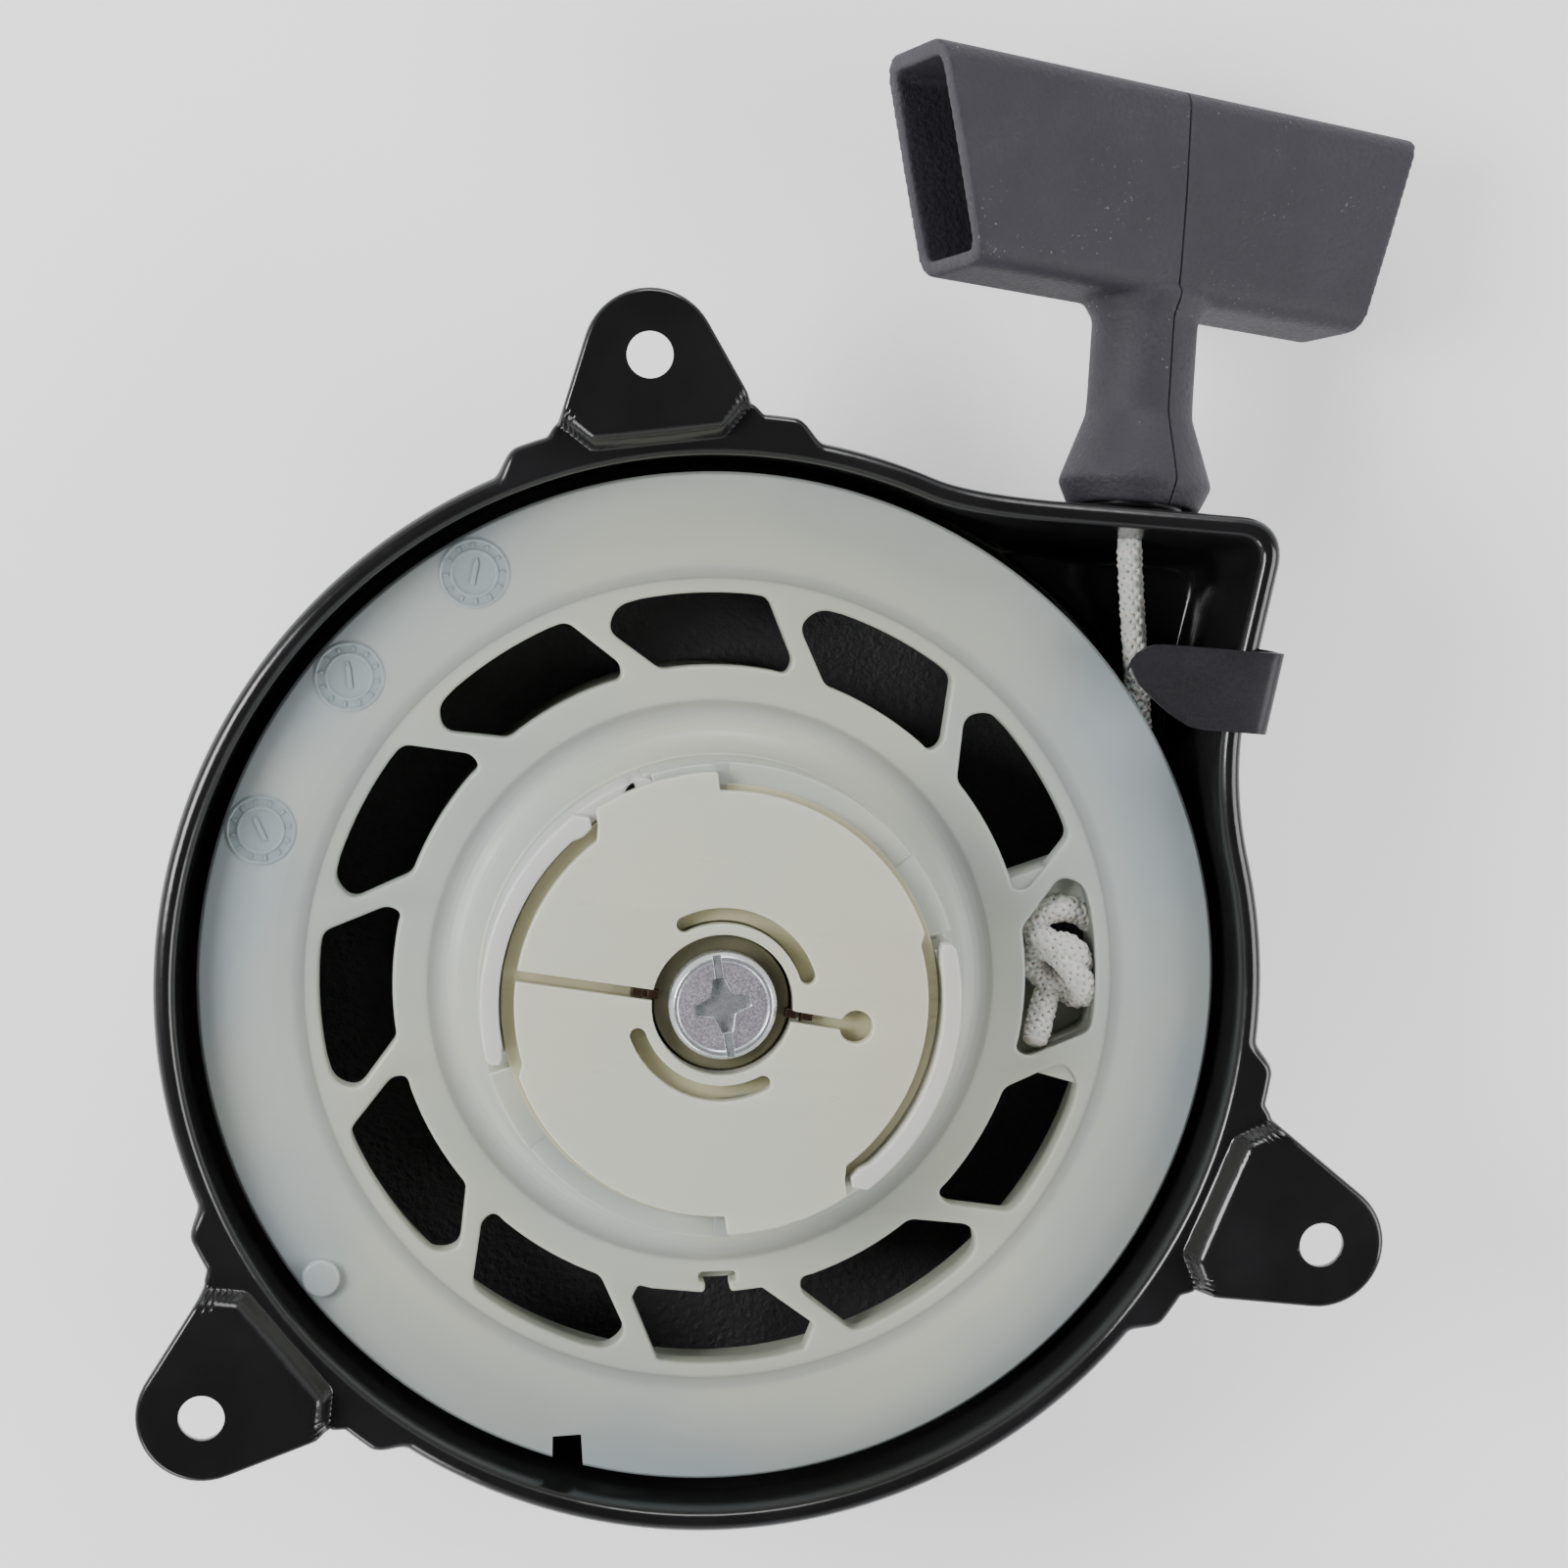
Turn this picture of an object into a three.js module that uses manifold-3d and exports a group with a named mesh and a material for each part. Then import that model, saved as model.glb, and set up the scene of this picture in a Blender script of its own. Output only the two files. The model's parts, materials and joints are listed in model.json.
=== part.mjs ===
// Recoil starter of a small vertical-shaft engine, seen from its engine side.
// Millimetres, +Z towards the engine, +Y towards the pull handle. The origin is on the pulley's
// axis, on the outside of the closed back that the starter lies on.
import * as THREE from 'three';
import { mergeVertices } from 'three/addons/utils/BufferGeometryUtils.js';
import Module from 'manifold-3d';

const wasm = await Module();
wasm.setup();

// ---- driving dimensions ---------------------------------------------------------------------
const SHEET = 1.2; // thickness of the pressed steel
const GAP = 0.3; // clearance between pieces that touch
const ROUND = 48; // sides of a large circle
const SMALL_ROUND = 20; // sides of a small circle

const RIM_Z = 44; // top of the housing's rim
const RIM_RADIUS = 77.8;
const LIP = 3; // width of the rolled rim
const CUP_CORNER = 7; // radius between the wall and the back
const SKIRT = 1.6; // how far the rim turns down at its edge
const SKIRT_SHEET = 1;

const BOX_CORNER = new THREE.Vector2(80.8, 65.7); // sharp corner of the rope box at the rim
const BOX_TOP_SLOPE = -4.75; // degrees, the rope box's outer edge above and below +X
const BOX_SIDE_SLOPE = 77.7; // degrees, the rope box's side edge from +X
const BOX_BACK_Z = 12; // the rope box is shallower than the cup
const BOX_CORNER_RADIUS = 5;
const BOX_LEAST_RADIUS = 2;
const BOX_TOP_LENGTH = 48; // the rope box's two edges run back this far into the cup
const BOX_SIDE_LENGTH = 42;
const BOX_INNER_POINT = new THREE.Vector2(30, 20); // a place well inside the cup
const BOX_DRAFT = 8; // degrees, the rope exit wall leans out towards the rim

const EAR_PLACES = [[88.8, 96.05], [93.75, -23.3], [92.2, 218.9]]; // radius and angle of each hole
const EAR_HOLE = 6.6;
const EAR_END_RADIUS = 8.6;
const EAR_ROOT_HALF_WIDTH = 13.2;
const EAR_Z = RIM_Z + 3.5; // top of the ears
const EAR_FOLD = 77.2; // distance of the lower fold from the axis
const EAR_RISE_RUN = 2.2; // length of the sloped step in plan
const SHOULDER_RADIUS = 80.3;
const SHOULDER_HALF_ANGLE = 14; // degrees
const EAR_LAP = 4; // length of the ear that lies on the rim
const EAR_ROOT = 1; // length of the ear's straight root beyond the fold
const EAR_SIDE_ANGLE = 70; // degrees, where the round end turns into the sides
const EAR_FOLD_SETBACK = 0.6; // the folds of the underside lie further out

const FLANGE_Z = 36; // top of the pulley's flange
const PULLEY_RADIUS = 72.5;
const FLANGE = 2;
const GROOVE_WIDTH = 7.6;
const GROOVE_RADIUS = 58.4;
const GROOVE_WALL = 1.8;
const LOWER_FLANGE_RADIUS = 71;
const WEB = 4;
const WEB_DROP = 0.4; // the web lies just below the flange
const DRUM_RADIUS = 44; // outside of the spring chamber
const DRUM_WALL = 2;
const PULLEY_FOOT_Z = 5;
const CHAMBER_TOP_Z = FLANGE_Z - 13;
const CORE_RADIUS = 26; // the hub is cored out from below as far as this
const FLANGE_EDGE = 0.4; // the flange's edge is this much lower than its inner part
const JOURNAL_RADIUS = 9;
const BORE_RADIUS = JOURNAL_RADIUS + GAP;

const WINDOW_COUNT = 12;
const WINDOW_PITCH = 360 / WINDOW_COUNT;
const WINDOW_START = 91; // degrees, middle of the first window
const WINDOW_INNER = 45.3;
const WINDOW_OUTER = 55.6;
const WINDOW_LEAD = -13.2; // degrees from the window's middle, along its inner side
const WINDOW_LEAD_BULGE = -15.6;
const WINDOW_LEAD_RADIUS = 46.6;
const WINDOW_LEAD_ANGLE = -14.9;
const WINDOW_OUTER_FROM = -8.3;
const WINDOW_OUTER_TO = 12;
const WINDOW_SHOULDER_RADIUS = 52.4;
const WINDOW_SHOULDER_ANGLE = 15;
const WINDOW_SHOULDER_BULGE = 15.2;
const WINDOW_TRAIL = 9;
const WINDOW_DEPTH = 14;
const KNOT_WINDOW_DEPTH = 8;
const KNOT_WALL_DEPTH = 10;
const KNOT_WALL_ANGLE = 17; // degrees to each side of the pocket's middle
const ROPE_HOLE_ANGLE = 7; // degrees from the pocket's middle
const KEY_FLOOR_Z = FLANGE_Z - 3;
const KEY_NECK = 3.4; // widths of the hook slot
const KEY_HEAD = 5.2;
const KEY_RADII = [42.2, 43.2, 43.6];
const NOTCH_ANGLE = 253.2;
const NOTCH_INNER = 68;
const NOTCH_WIDTH = 4.2;
const NOTCH_MOUTH = 4.8;
const BOSS_RADIUS = 2.6;
const BOSS_HEIGHT = 1.4;
const BOSS_PLACE_RADIUS = 69.6;
const BOSS_PLACE_ANGLE = 217;
const KNOT_WINDOW = 3; // this window is the rope knot's pocket
const KEYED_WINDOW = 6; // this window has the spring's hook slot

const HUB_RADIUS = 32.6;
const HUB_TOP_Z = FLANGE_Z + 15.4;
const PAWL_FLOOR_Z = FLANGE_Z + 5.2;
const COLLAR_RADIUS = 12.2;
const COLLAR_Z = FLANGE_Z + 7.5;
const COLLAR_WALL = 1.6;
const HUB_FILLET = [[3.4, 0], [1.4, 1.2], [0.6, 4]]; // steps out from the hub, heights above the web

const PLATE_Z = HUB_TOP_Z + GAP;
const PLATE = 2.5;
const PLATE_TOP_Z = PLATE_Z + PLATE;
const PLATE_RADIUS = 29.3;
const LOBE_RADIUS = 32;
const LOBE_START = 92; // degrees
const LOBE_END = 124.5;
const PLATE_HOLE_RADIUS = 9.6;
const SLIT_ANGLE = 171; // degrees
const SLIT = 1.5;
const KEYHOLE_PLACE_RADIUS = 18.7;
const KEYHOLE_RADIUS = 2.3;
const ARC_SLOT_INNER = 12.6;
const ARC_SLOT_OUTER = 13.6;
const ARC_SLOT_ANGLE = 67; // degrees, middle of the first curved slot
const ARC_SLOT_HALF_ANGLE = 51;
const LOBE_LAP = 3; // the lobes reach this far into the plate

const PAWL_INNER = 30.6;
const PAWL_OUTER = 33.1;
const PAWL_PIVOT_RADIUS = 30.2;
const PAWL_PIVOT_ANGLE = 111; // degrees
const PAWL_TOP_START = 127;
const PAWL_TIP = 195;
const PAWL_TOP_Z = PLATE_TOP_Z - GAP;
const PAWL_PIN_RADIUS = 1.5;
const PAWL_PIN = 3.4; // length of the pin below the pawl
const PAWL_ROOM = 0.6; // clearance behind a pawl
const PAWL_ROOM_OUTER = HUB_RADIUS + 6;
const PAWL_ROOM_ANGLE = 3.5; // degrees past each end of a pawl
const PAWL_EYE_ROOM_RADIUS = 3.4;

const CLIP_BAND = 5; // height of the friction spring's band
const CLIP_OPEN_ANGLE = 6; // degrees, half of the band's opening
const CLIP_STRIP = 1; // width of its tangs
const CLIP_TANG_DROP = 0.8; // the tangs end this far below the plate's top

const ROPE = 3.5; // rope diameter
const ROPE_Z = FLANGE_Z - FLANGE - GROOVE_WIDTH / 2;
const ROPE_TANGENT_RADIUS = 66.8; // middle of the outermost turn, which the rope leaves along
const COIL_RADIUS = ROPE_TANGENT_RADIUS - ROPE / 2 - GAP;
const KNOT_SIZE = new THREE.Vector3(4.6, 6.4, 3.8);
const KNOT_PLACE = new THREE.Vector3(50.6, 2.6, FLANGE_Z - 3.6);
const KNOT_TAIL_FROM = new THREE.Vector3(49.6, -1, FLANGE_Z - 3.6);
const KNOT_TAIL_TO = new THREE.Vector3(47.4, -8.4, FLANGE_Z - 3.2);

const HANDLE_BASE = new THREE.Vector3(61.2, 70, ROPE_Z); // middle of the grip's foot
const HANDLE_LEAN = BOX_DRAFT; // degrees below level
const HANDLE_BEARING = 90 + BOX_TOP_SLOPE; // degrees from +X in plan
const HANDLE_ROLL = 21; // degrees about its own stem, the +X end down
const BAR_LENGTH = 81.8;
const BAR_FOOT_LENGTH = 65;
const BAR_HEIGHT = 30.3;
const BAR_DEPTH = 17;
const BAR_WALL = 2.2;
const BAR_EDGE = 2.4;
const BAR_CORE = 9; // half length of the solid middle
const STEM_LENGTH = 26.5;
const STEM_RADIUS = 7.6;
const STEM_FLARE = 1.6; // how much the stem widens where it meets the bar
const STEM_FLARE_RUN = 2;
const FOOT_RADIUS = 11;
const FOOT_BAND = 1.4; // height of the foot's straight edge
const FOOT_CONE = 10.5; // height at which the foot's cone meets the stem
const FOOT_HOLLOW_RADIUS = FOOT_RADIUS - 1.8;
const FOOT_HOLLOW_TOP_RADIUS = STEM_RADIUS - 1.8;
const FOOT_HOLLOW_DEPTH = 7;
const KNOT_ROOM_LOW = STEM_LENGTH + 4;
const KNOT_ROOM_HIGH = STEM_LENGTH + 15;
const KNOT_ROOM_SIDE = 1; // extra wall beside the knot's room
const GRIP_KNOT_SIZE = new THREE.Vector3(4.4, 4, 3.6);
const WASHER = 1;
const WASHER_RADIUS = 4.6;

const GUIDE_NECK_RADIUS = 4.6;
const GUIDE_BORE = ROPE / 2 + 0.5;
const GUIDE_FLANGE_RADIUS = 7;
const GUIDE_FLANGE = 2;
const GUIDE_EDGE = 0.8; // chamfer at both mouths
const GUIDE_NOSE = 2.6; // how far the guide stands into the grip's hollow foot

const TAB_REACH = 19; // how far the rope guard reaches over the box
const TAB_OUT = 3.4; // how far it stands outside the rim
const TAB_WIDTH = 12;
const TAB_PLACE = -18.5; // its edge along the box's side, from the sharp corner
const TAB_DROP = 6; // height of its outer face
const TAB_STEP = 1.5; // height of its bend back to the wall
const TAB_FOOT_Z = RIM_Z - 16;
const TAB_TIP = [ // edge of the rounded tip: start, then control point and end of each curve
  [63.2, 48.6], [59.2, 48.2], [59.9, 45.2], [60.8, 42.6], [65.6, 39.2], [68.4, 37.2], [72, 36],
];

const POST_TOP_Z = PLATE_Z - 2.4;
const POST_FOOT_RADIUS = JOURNAL_RADIUS + 5;
const POST_NECK_RADIUS = PLATE_HOLE_RADIUS - 1.1;
const POST_SLOT = 1.4; // width of the slot for the spring's inner end
const SCREW_RADIUS = 3;
const SCREW_HEAD_RADIUS = 7.35;
const SCREW_TOP_Z = PLATE_TOP_Z + 1.1;
const SCREW_HEAD = 3.4;
const SCREW_LENGTH = 14; // below the post's top
const RECESS_LENGTH = 7;
const RECESS_WIDTH = 1.5;
const RECESS_DEPTH = 1.8;
const RECESS_ANGLE = 52;
const THRUST_WASHER_RADIUS = 13.2;
const SPRING_TURNS = 7.5;
const SPRING_STRIP = 0.7;
const SPRING_INNER = JOURNAL_RADIUS + 1.2;
const SPRING_OUTER = DRUM_RADIUS - DRUM_WALL - 1.4;
const SPRING_LOW_Z = 6.2;
const SPRING_HIGH_Z = 21.6;
const COVER_INNER = 14.5;
const COVER = 1;

// ---- finishes -------------------------------------------------------------------------------
function finish(color, roughness, metalness) {
  return new THREE.MeshStandardMaterial({ color, roughness, metalness });
}

const GLOSS_BLACK = finish(0x0b0b0c, 0.22, 0.1);
const DARK_STEEL = finish(0x2a292e, 0.45, 0.3);
const NYLON = finish(0xb4b8b0, 0.5, 0);
const CREAM_NYLON = finish(0xccc9bb, 0.5, 0);
const PAWL_NYLON = finish(0xd8d8d2, 0.45, 0);
const ZINC = finish(0xbcc2c8, 0.3, 0.9);
const BLUE_STEEL = finish(0x4a3b30, 0.35, 0.8);
const GRIP_RUBBER = finish(0x3c3a42, 0.75, 0);
const WHITE_ROPE = finish(0xd9d6cf, 0.8, 0);
const BLACK_NYLON = finish(0x151516, 0.5, 0);

// ---- helpers --------------------------------------------------------------------------------
const rad = THREE.MathUtils.degToRad;

/** A point in plan from its radius and its angle in degrees. */
function at(radius, degrees) {
  return new THREE.Vector2(radius * Math.cos(rad(degrees)), radius * Math.sin(rad(degrees)));
}

/** A closed three.js geometry as a manifold solid. */
function solid(geometry) {
  const bare = geometry.index ? geometry.toNonIndexed() : geometry.clone();
  bare.deleteAttribute('normal');
  bare.deleteAttribute('uv');
  const merged = mergeVertices(bare, 1e-4);
  const mesh = new wasm.Mesh({
    numProp: 3,
    vertProperties: new Float32Array(merged.attributes.position.array),
    triVerts: new Uint32Array(merged.index.array),
  });
  return new wasm.Manifold(mesh);
}

/** A manifold solid as a three.js geometry. */
function surface(manifold) {
  const mesh = manifold.getMesh();
  const geometry = new THREE.BufferGeometry();
  geometry.setAttribute('position', new THREE.BufferAttribute(new Float32Array(mesh.vertProperties), 3));
  geometry.setIndex(new THREE.BufferAttribute(new Uint32Array(mesh.triVerts), 1));
  geometry.computeVertexNormals();
  return geometry;
}

/** A flat outline pushed up from one height to another. */
function prism(shape, low, high, sides = 8) {
  const options = { depth: high - low, bevelEnabled: false, curveSegments: sides };
  const geometry = new THREE.ExtrudeGeometry(shape, options);
  geometry.translate(0, 0, low);
  return solid(geometry);
}

/** A closed profile of [radius, height] points turned about Z. */
function turned(profile, sides = ROUND) {
  const points = profile.map(([radius, height]) => new THREE.Vector2(radius, height));
  return solid(new THREE.LatheGeometry(points, sides).rotateX(Math.PI / 2));
}

/** A ring or a disc of plain section. */
function ring(inner, outer, low, high, sides = ROUND) {
  const floor = inner > 0 ? inner : 0;
  return turned([[floor, low], [outer, low], [outer, high], [floor, high], [floor, low]], sides);
}

/** A flat polygon from [x, y] corners. */
function polygon(corners) {
  return new THREE.Shape(corners.map(([x, y]) => new THREE.Vector2(x, y)));
}

/** A flat piece of a ring between two angles. */
function sector(inner, outer, start, end) {
  const shape = new THREE.Shape();
  shape.absarc(0, 0, outer, rad(start), rad(end), false);
  shape.absarc(0, 0, inner, rad(end), rad(start), true);
  shape.closePath();
  return shape;
}

/** A cuboid between two corners. */
function block(low, high) {
  const size = new THREE.Vector3().subVectors(high, low);
  const middle = new THREE.Vector3().addVectors(low, high).multiplyScalar(0.5);
  return solid(new THREE.BoxGeometry(size.x, size.y, size.z).translate(middle.x, middle.y, middle.z));
}

/** A round bar along Z at a place in plan. */
function pin(centre, radius, low, high, sides = SMALL_ROUND) {
  const geometry = new THREE.CylinderGeometry(radius, radius, high - low, sides).rotateX(Math.PI / 2);
  return solid(geometry.translate(centre.x, centre.y, (low + high) / 2));
}

/** A round cord along a curve. */
function cord(curve, radius, steps, sides = 4) {
  const section = new THREE.Shape();
  section.absarc(0, 0, radius, 0, 2 * Math.PI, false);
  const options = { steps, extrudePath: curve, curveSegments: sides, bevelEnabled: false };
  return solid(new THREE.ExtrudeGeometry(section, options));
}

const moved = (manifold, matrix) => manifold.transform(matrix.toArray());
const turnAbout = (manifold, degrees) => moved(manifold, new THREE.Matrix4().makeRotationZ(rad(degrees)));
const joined = (solids) => solids.reduce((whole, piece) => whole.add(piece));

/** A named mesh in its finish. */
function node(name, manifold, material) {
  const mesh = new THREE.Mesh(surface(manifold), material);
  mesh.name = name;
  return mesh;
}

// ---- housing --------------------------------------------------------------------------------
const TOP_NORMAL = at(1, BOX_TOP_SLOPE + 90);
const SIDE_NORMAL = at(1, BOX_SIDE_SLOPE - 90);

/** The corner of the rope box once both its edges move in by an inset. */
function boxCorner(inset) {
  const top = TOP_NORMAL.dot(BOX_CORNER) - inset;
  const side = SIDE_NORMAL.dot(BOX_CORNER) - inset;
  const spread = TOP_NORMAL.x * SIDE_NORMAL.y - TOP_NORMAL.y * SIDE_NORMAL.x;
  const x = (top * SIDE_NORMAL.y - side * TOP_NORMAL.y) / spread;
  const y = (side * TOP_NORMAL.x - top * SIDE_NORMAL.x) / spread;
  return new THREE.Vector2(x, y);
}

/** The rope box in plan, its inner corners well inside the cup. */
function boxOutline(inset) {
  const corner = boxCorner(inset);
  const alongTop = at(1, BOX_TOP_SLOPE);
  const alongSide = at(1, BOX_SIDE_SLOPE);
  const radius = Math.max(BOX_CORNER_RADIUS - inset, BOX_LEAST_RADIUS);
  const shape = new THREE.Shape();
  const start = corner.clone().addScaledVector(alongTop, -BOX_TOP_LENGTH);
  const beforeCorner = corner.clone().addScaledVector(alongTop, -radius);
  const afterCorner = corner.clone().addScaledVector(alongSide, -radius);
  const end = corner.clone().addScaledVector(alongSide, -BOX_SIDE_LENGTH);
  shape.moveTo(start.x, start.y);
  shape.lineTo(BOX_INNER_POINT.x, BOX_INNER_POINT.y);
  shape.lineTo(end.x, end.y);
  shape.lineTo(afterCorner.x, afterCorner.y);
  shape.quadraticCurveTo(corner.x, corner.y, beforeCorner.x, beforeCorner.y);
  shape.closePath();
  return shape;
}

/** Everything beyond the leaning rope exit wall. */
function beyondExitWall(inset) {
  const reach = 80;
  const cutter = new THREE.BoxGeometry(4 * reach, reach, 2 * reach).translate(0, reach / 2, 0);
  const corner = boxCorner(inset);
  const place = new THREE.Matrix4().makeTranslation(corner.x, corner.y, RIM_Z);
  place.multiply(new THREE.Matrix4().makeRotationZ(rad(BOX_TOP_SLOPE)));
  place.multiply(new THREE.Matrix4().makeRotationX(rad(-BOX_DRAFT)));
  return solid(cutter.applyMatrix4(place));
}

/** The rope box as a full volume. */
function boxVolume(inset, low, high) {
  return prism(boxOutline(inset), low, high, 6).subtract(beyondExitWall(inset));
}

/** The cup as a full volume with a rounded bottom edge. */
function cupVolume(radius, corner, low, high) {
  const profile = [[0, low], [radius - corner, low]];
  const steps = 4;
  for (let i = 1; i <= steps; i += 1) {
    const turn = rad(-90 + (90 * i) / steps);
    profile.push([radius - corner + corner * Math.cos(turn), low + corner + corner * Math.sin(turn)]);
  }
  profile.push([radius, high], [0, high]);
  return turned(profile);
}

/** The outline of an ear whose hole is at a radius, pointing along +X. */
function earOutline(holeRadius) {
  const shape = new THREE.Shape();
  const side = rad(EAR_SIDE_ANGLE);
  shape.moveTo(EAR_FOLD - EAR_LAP, -EAR_ROOT_HALF_WIDTH);
  shape.lineTo(EAR_FOLD + EAR_ROOT, -EAR_ROOT_HALF_WIDTH);
  shape.absarc(holeRadius, 0, EAR_END_RADIUS, -side, side, false);
  shape.lineTo(EAR_FOLD + EAR_ROOT, EAR_ROOT_HALF_WIDTH);
  shape.lineTo(EAR_FOLD - EAR_LAP, EAR_ROOT_HALF_WIDTH);
  shape.closePath();
  return shape;
}

/** The stepped sheet of an ear, seen from its side. */
function earSheet(holeRadius) {
  const foldEnd = EAR_FOLD + EAR_RISE_RUN;
  const reach = holeRadius + EAR_END_RADIUS + 1;
  const lap = EAR_FOLD - EAR_LAP;
  const back = EAR_FOLD_SETBACK;
  const top = [[lap, RIM_Z], [EAR_FOLD, RIM_Z], [foldEnd, EAR_Z], [reach, EAR_Z]];
  const under = [[reach, EAR_Z - SHEET], [foldEnd + back, EAR_Z - SHEET], [EAR_FOLD + back, RIM_Z - SHEET]];
  const shape = polygon([...top, ...under, [lap, RIM_Z - SHEET]]);
  const width = 3 * EAR_ROOT_HALF_WIDTH;
  const geometry = new THREE.ExtrudeGeometry(shape, { depth: width, bevelEnabled: false });
  return solid(geometry.rotateX(Math.PI / 2).translate(0, width / 2, 0));
}

/** One mounting ear with its bolt hole, pointing along +X. */
function ear(holeRadius) {
  const outline = prism(earOutline(holeRadius), RIM_Z - 2 * SHEET, EAR_Z + 1, 7);
  const hole = pin(new THREE.Vector2(holeRadius, 0), EAR_HOLE / 2, RIM_Z, EAR_Z + 1);
  const shoulder = sector(RIM_RADIUS - LIP, SHOULDER_RADIUS, -SHOULDER_HALF_ANGLE, SHOULDER_HALF_ANGLE);
  const flat = prism(shoulder, RIM_Z - SHEET, RIM_Z, 4);
  const window = prism(earOutline(holeRadius), RIM_Z - 2 * SHEET, RIM_Z + 1, 7);
  return earSheet(holeRadius).intersect(outline).add(flat.subtract(window)).subtract(hole);
}

/** The pressed steel cup with its rope box, rolled rim and three ears. */
function housing() {
  const wall = LIP - SHEET;
  const below = block(new THREE.Vector3(-200, -200, -1), new THREE.Vector3(200, 200, RIM_Z));
  const outside = cupVolume(RIM_RADIUS - wall, CUP_CORNER, 0, RIM_Z)
    .add(boxVolume(wall, BOX_BACK_Z, RIM_Z + 1));
  const flange = ring(0, RIM_RADIUS, RIM_Z - SHEET, RIM_Z).add(prism(boxOutline(0), RIM_Z - SHEET, RIM_Z, 6));
  const skirtLow = RIM_Z - SHEET - SKIRT;
  const skirtOut = ring(0, RIM_RADIUS, skirtLow, RIM_Z).add(prism(boxOutline(0), skirtLow, RIM_Z, 6));
  const skirtIn = ring(0, RIM_RADIUS - SKIRT_SHEET, skirtLow - 1, RIM_Z - SHEET)
    .add(prism(boxOutline(SKIRT_SHEET), skirtLow - 1, RIM_Z - SHEET, 6));
  const ears = joined(EAR_PLACES.map(([radius, angle]) => turnAbout(ear(radius), angle)));
  const inside = cupVolume(RIM_RADIUS - LIP, CUP_CORNER - SHEET, SHEET, RIM_Z + 1)
    .add(boxVolume(LIP, BOX_BACK_Z + SHEET, RIM_Z + 1));
  const exit = moved(ring(0, GUIDE_NECK_RADIUS + GAP, -20, 4, SMALL_ROUND), handleFrame());
  const skin = outside.intersect(below).add(flange).add(skirtOut.subtract(skirtIn)).add(ears);
  return skin.subtract(inside).subtract(exit);
}

// ---- rope, guide and handle frame -----------------------------------------------------------
/** The handle's frame: Z along the stem away from the housing, X along the bar. */
function handleFrame() {
  const level = Math.cos(rad(HANDLE_LEAN));
  const bearing = at(level, HANDLE_BEARING);
  const stem = new THREE.Vector3(bearing.x, bearing.y, -Math.sin(rad(HANDLE_LEAN)));
  const side = new THREE.Vector3(Math.sin(rad(HANDLE_BEARING)), -Math.cos(rad(HANDLE_BEARING)), 0);
  const down = new THREE.Vector3().crossVectors(stem, side);
  const bar = side.multiplyScalar(Math.cos(rad(HANDLE_ROLL)));
  bar.addScaledVector(down, Math.sin(rad(HANDLE_ROLL)));
  const depth = new THREE.Vector3().crossVectors(stem, bar);
  return new THREE.Matrix4().makeBasis(bar, depth, stem).setPosition(HANDLE_BASE);
}

/** Distance along the stem from the grip's foot back to the exit wall's outer face. */
function wallOffset() {
  const inset = LIP - SHEET;
  const lean = (RIM_Z - HANDLE_BASE.z) * Math.tan(rad(BOX_DRAFT));
  const face = TOP_NORMAL.dot(boxCorner(inset)) - lean;
  const foot = TOP_NORMAL.dot(new THREE.Vector2(HANDLE_BASE.x, HANDLE_BASE.y));
  return (foot - face) * Math.cos(rad(BOX_DRAFT));
}

/** The flanged bush that leads the rope out through the wall. */
function ropeGuide() {
  const outer = -wallOffset();
  const inner = outer - SHEET;
  const profile = [
    [GUIDE_BORE, inner - GAP - GUIDE_FLANGE + GUIDE_EDGE],
    [GUIDE_BORE + GUIDE_EDGE, inner - GAP - GUIDE_FLANGE],
    [GUIDE_FLANGE_RADIUS, inner - GAP - GUIDE_FLANGE],
    [GUIDE_FLANGE_RADIUS, inner - GAP],
    [GUIDE_NECK_RADIUS, inner - GAP],
    [GUIDE_NECK_RADIUS, outer + GAP],
    [GUIDE_FLANGE_RADIUS, outer + GAP],
    [GUIDE_FLANGE_RADIUS, outer + GUIDE_FLANGE],
    [GUIDE_NECK_RADIUS + GUIDE_EDGE, GUIDE_NOSE - GUIDE_EDGE],
    [GUIDE_NECK_RADIUS, GUIDE_NOSE],
    [GUIDE_BORE + GUIDE_EDGE, GUIDE_NOSE],
    [GUIDE_BORE, GUIDE_NOSE - GUIDE_EDGE],
  ];
  profile.push(profile[0]);
  return moved(turned(profile, SMALL_ROUND), handleFrame());
}

/** A point on the stem's line, in the object's frame. */
function onStem(distance) {
  return new THREE.Vector3(0, 0, distance).applyMatrix4(handleFrame());
}

/** The rope from where it leaves the coil to the mouth of the guide. */
function ropeRunPath() {
  const entry = onStem(-wallOffset() - SHEET - GUIDE_FLANGE - 1);
  const distance = Math.hypot(entry.x, entry.y);
  const bearing = THREE.MathUtils.radToDeg(Math.atan2(entry.y, entry.x));
  const leave = bearing - THREE.MathUtils.radToDeg(Math.acos(ROPE_TANGENT_RADIUS / distance));
  const tangent = at(ROPE_TANGENT_RADIUS, leave);
  const start = new THREE.Vector3(tangent.x, tangent.y, ROPE_Z);
  const middle = new THREE.Vector3().lerpVectors(start, entry, 0.5);
  const nearEntry = new THREE.Vector3().lerpVectors(start, entry, 0.93);
  return new THREE.CatmullRomCurve3([start, middle, nearEntry, onStem(-wallOffset() - 1), onStem(-1)]);
}

/** The wound rope as one ring that clears the turn the rope leaves along. */
function ropeCoil() {
  const low = ROPE_Z - GROOVE_WIDTH / 2 + GAP;
  return ring(GROOVE_RADIUS + GAP, COIL_RADIUS, low, low + GROOVE_WIDTH - 2 * GAP);
}

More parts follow.
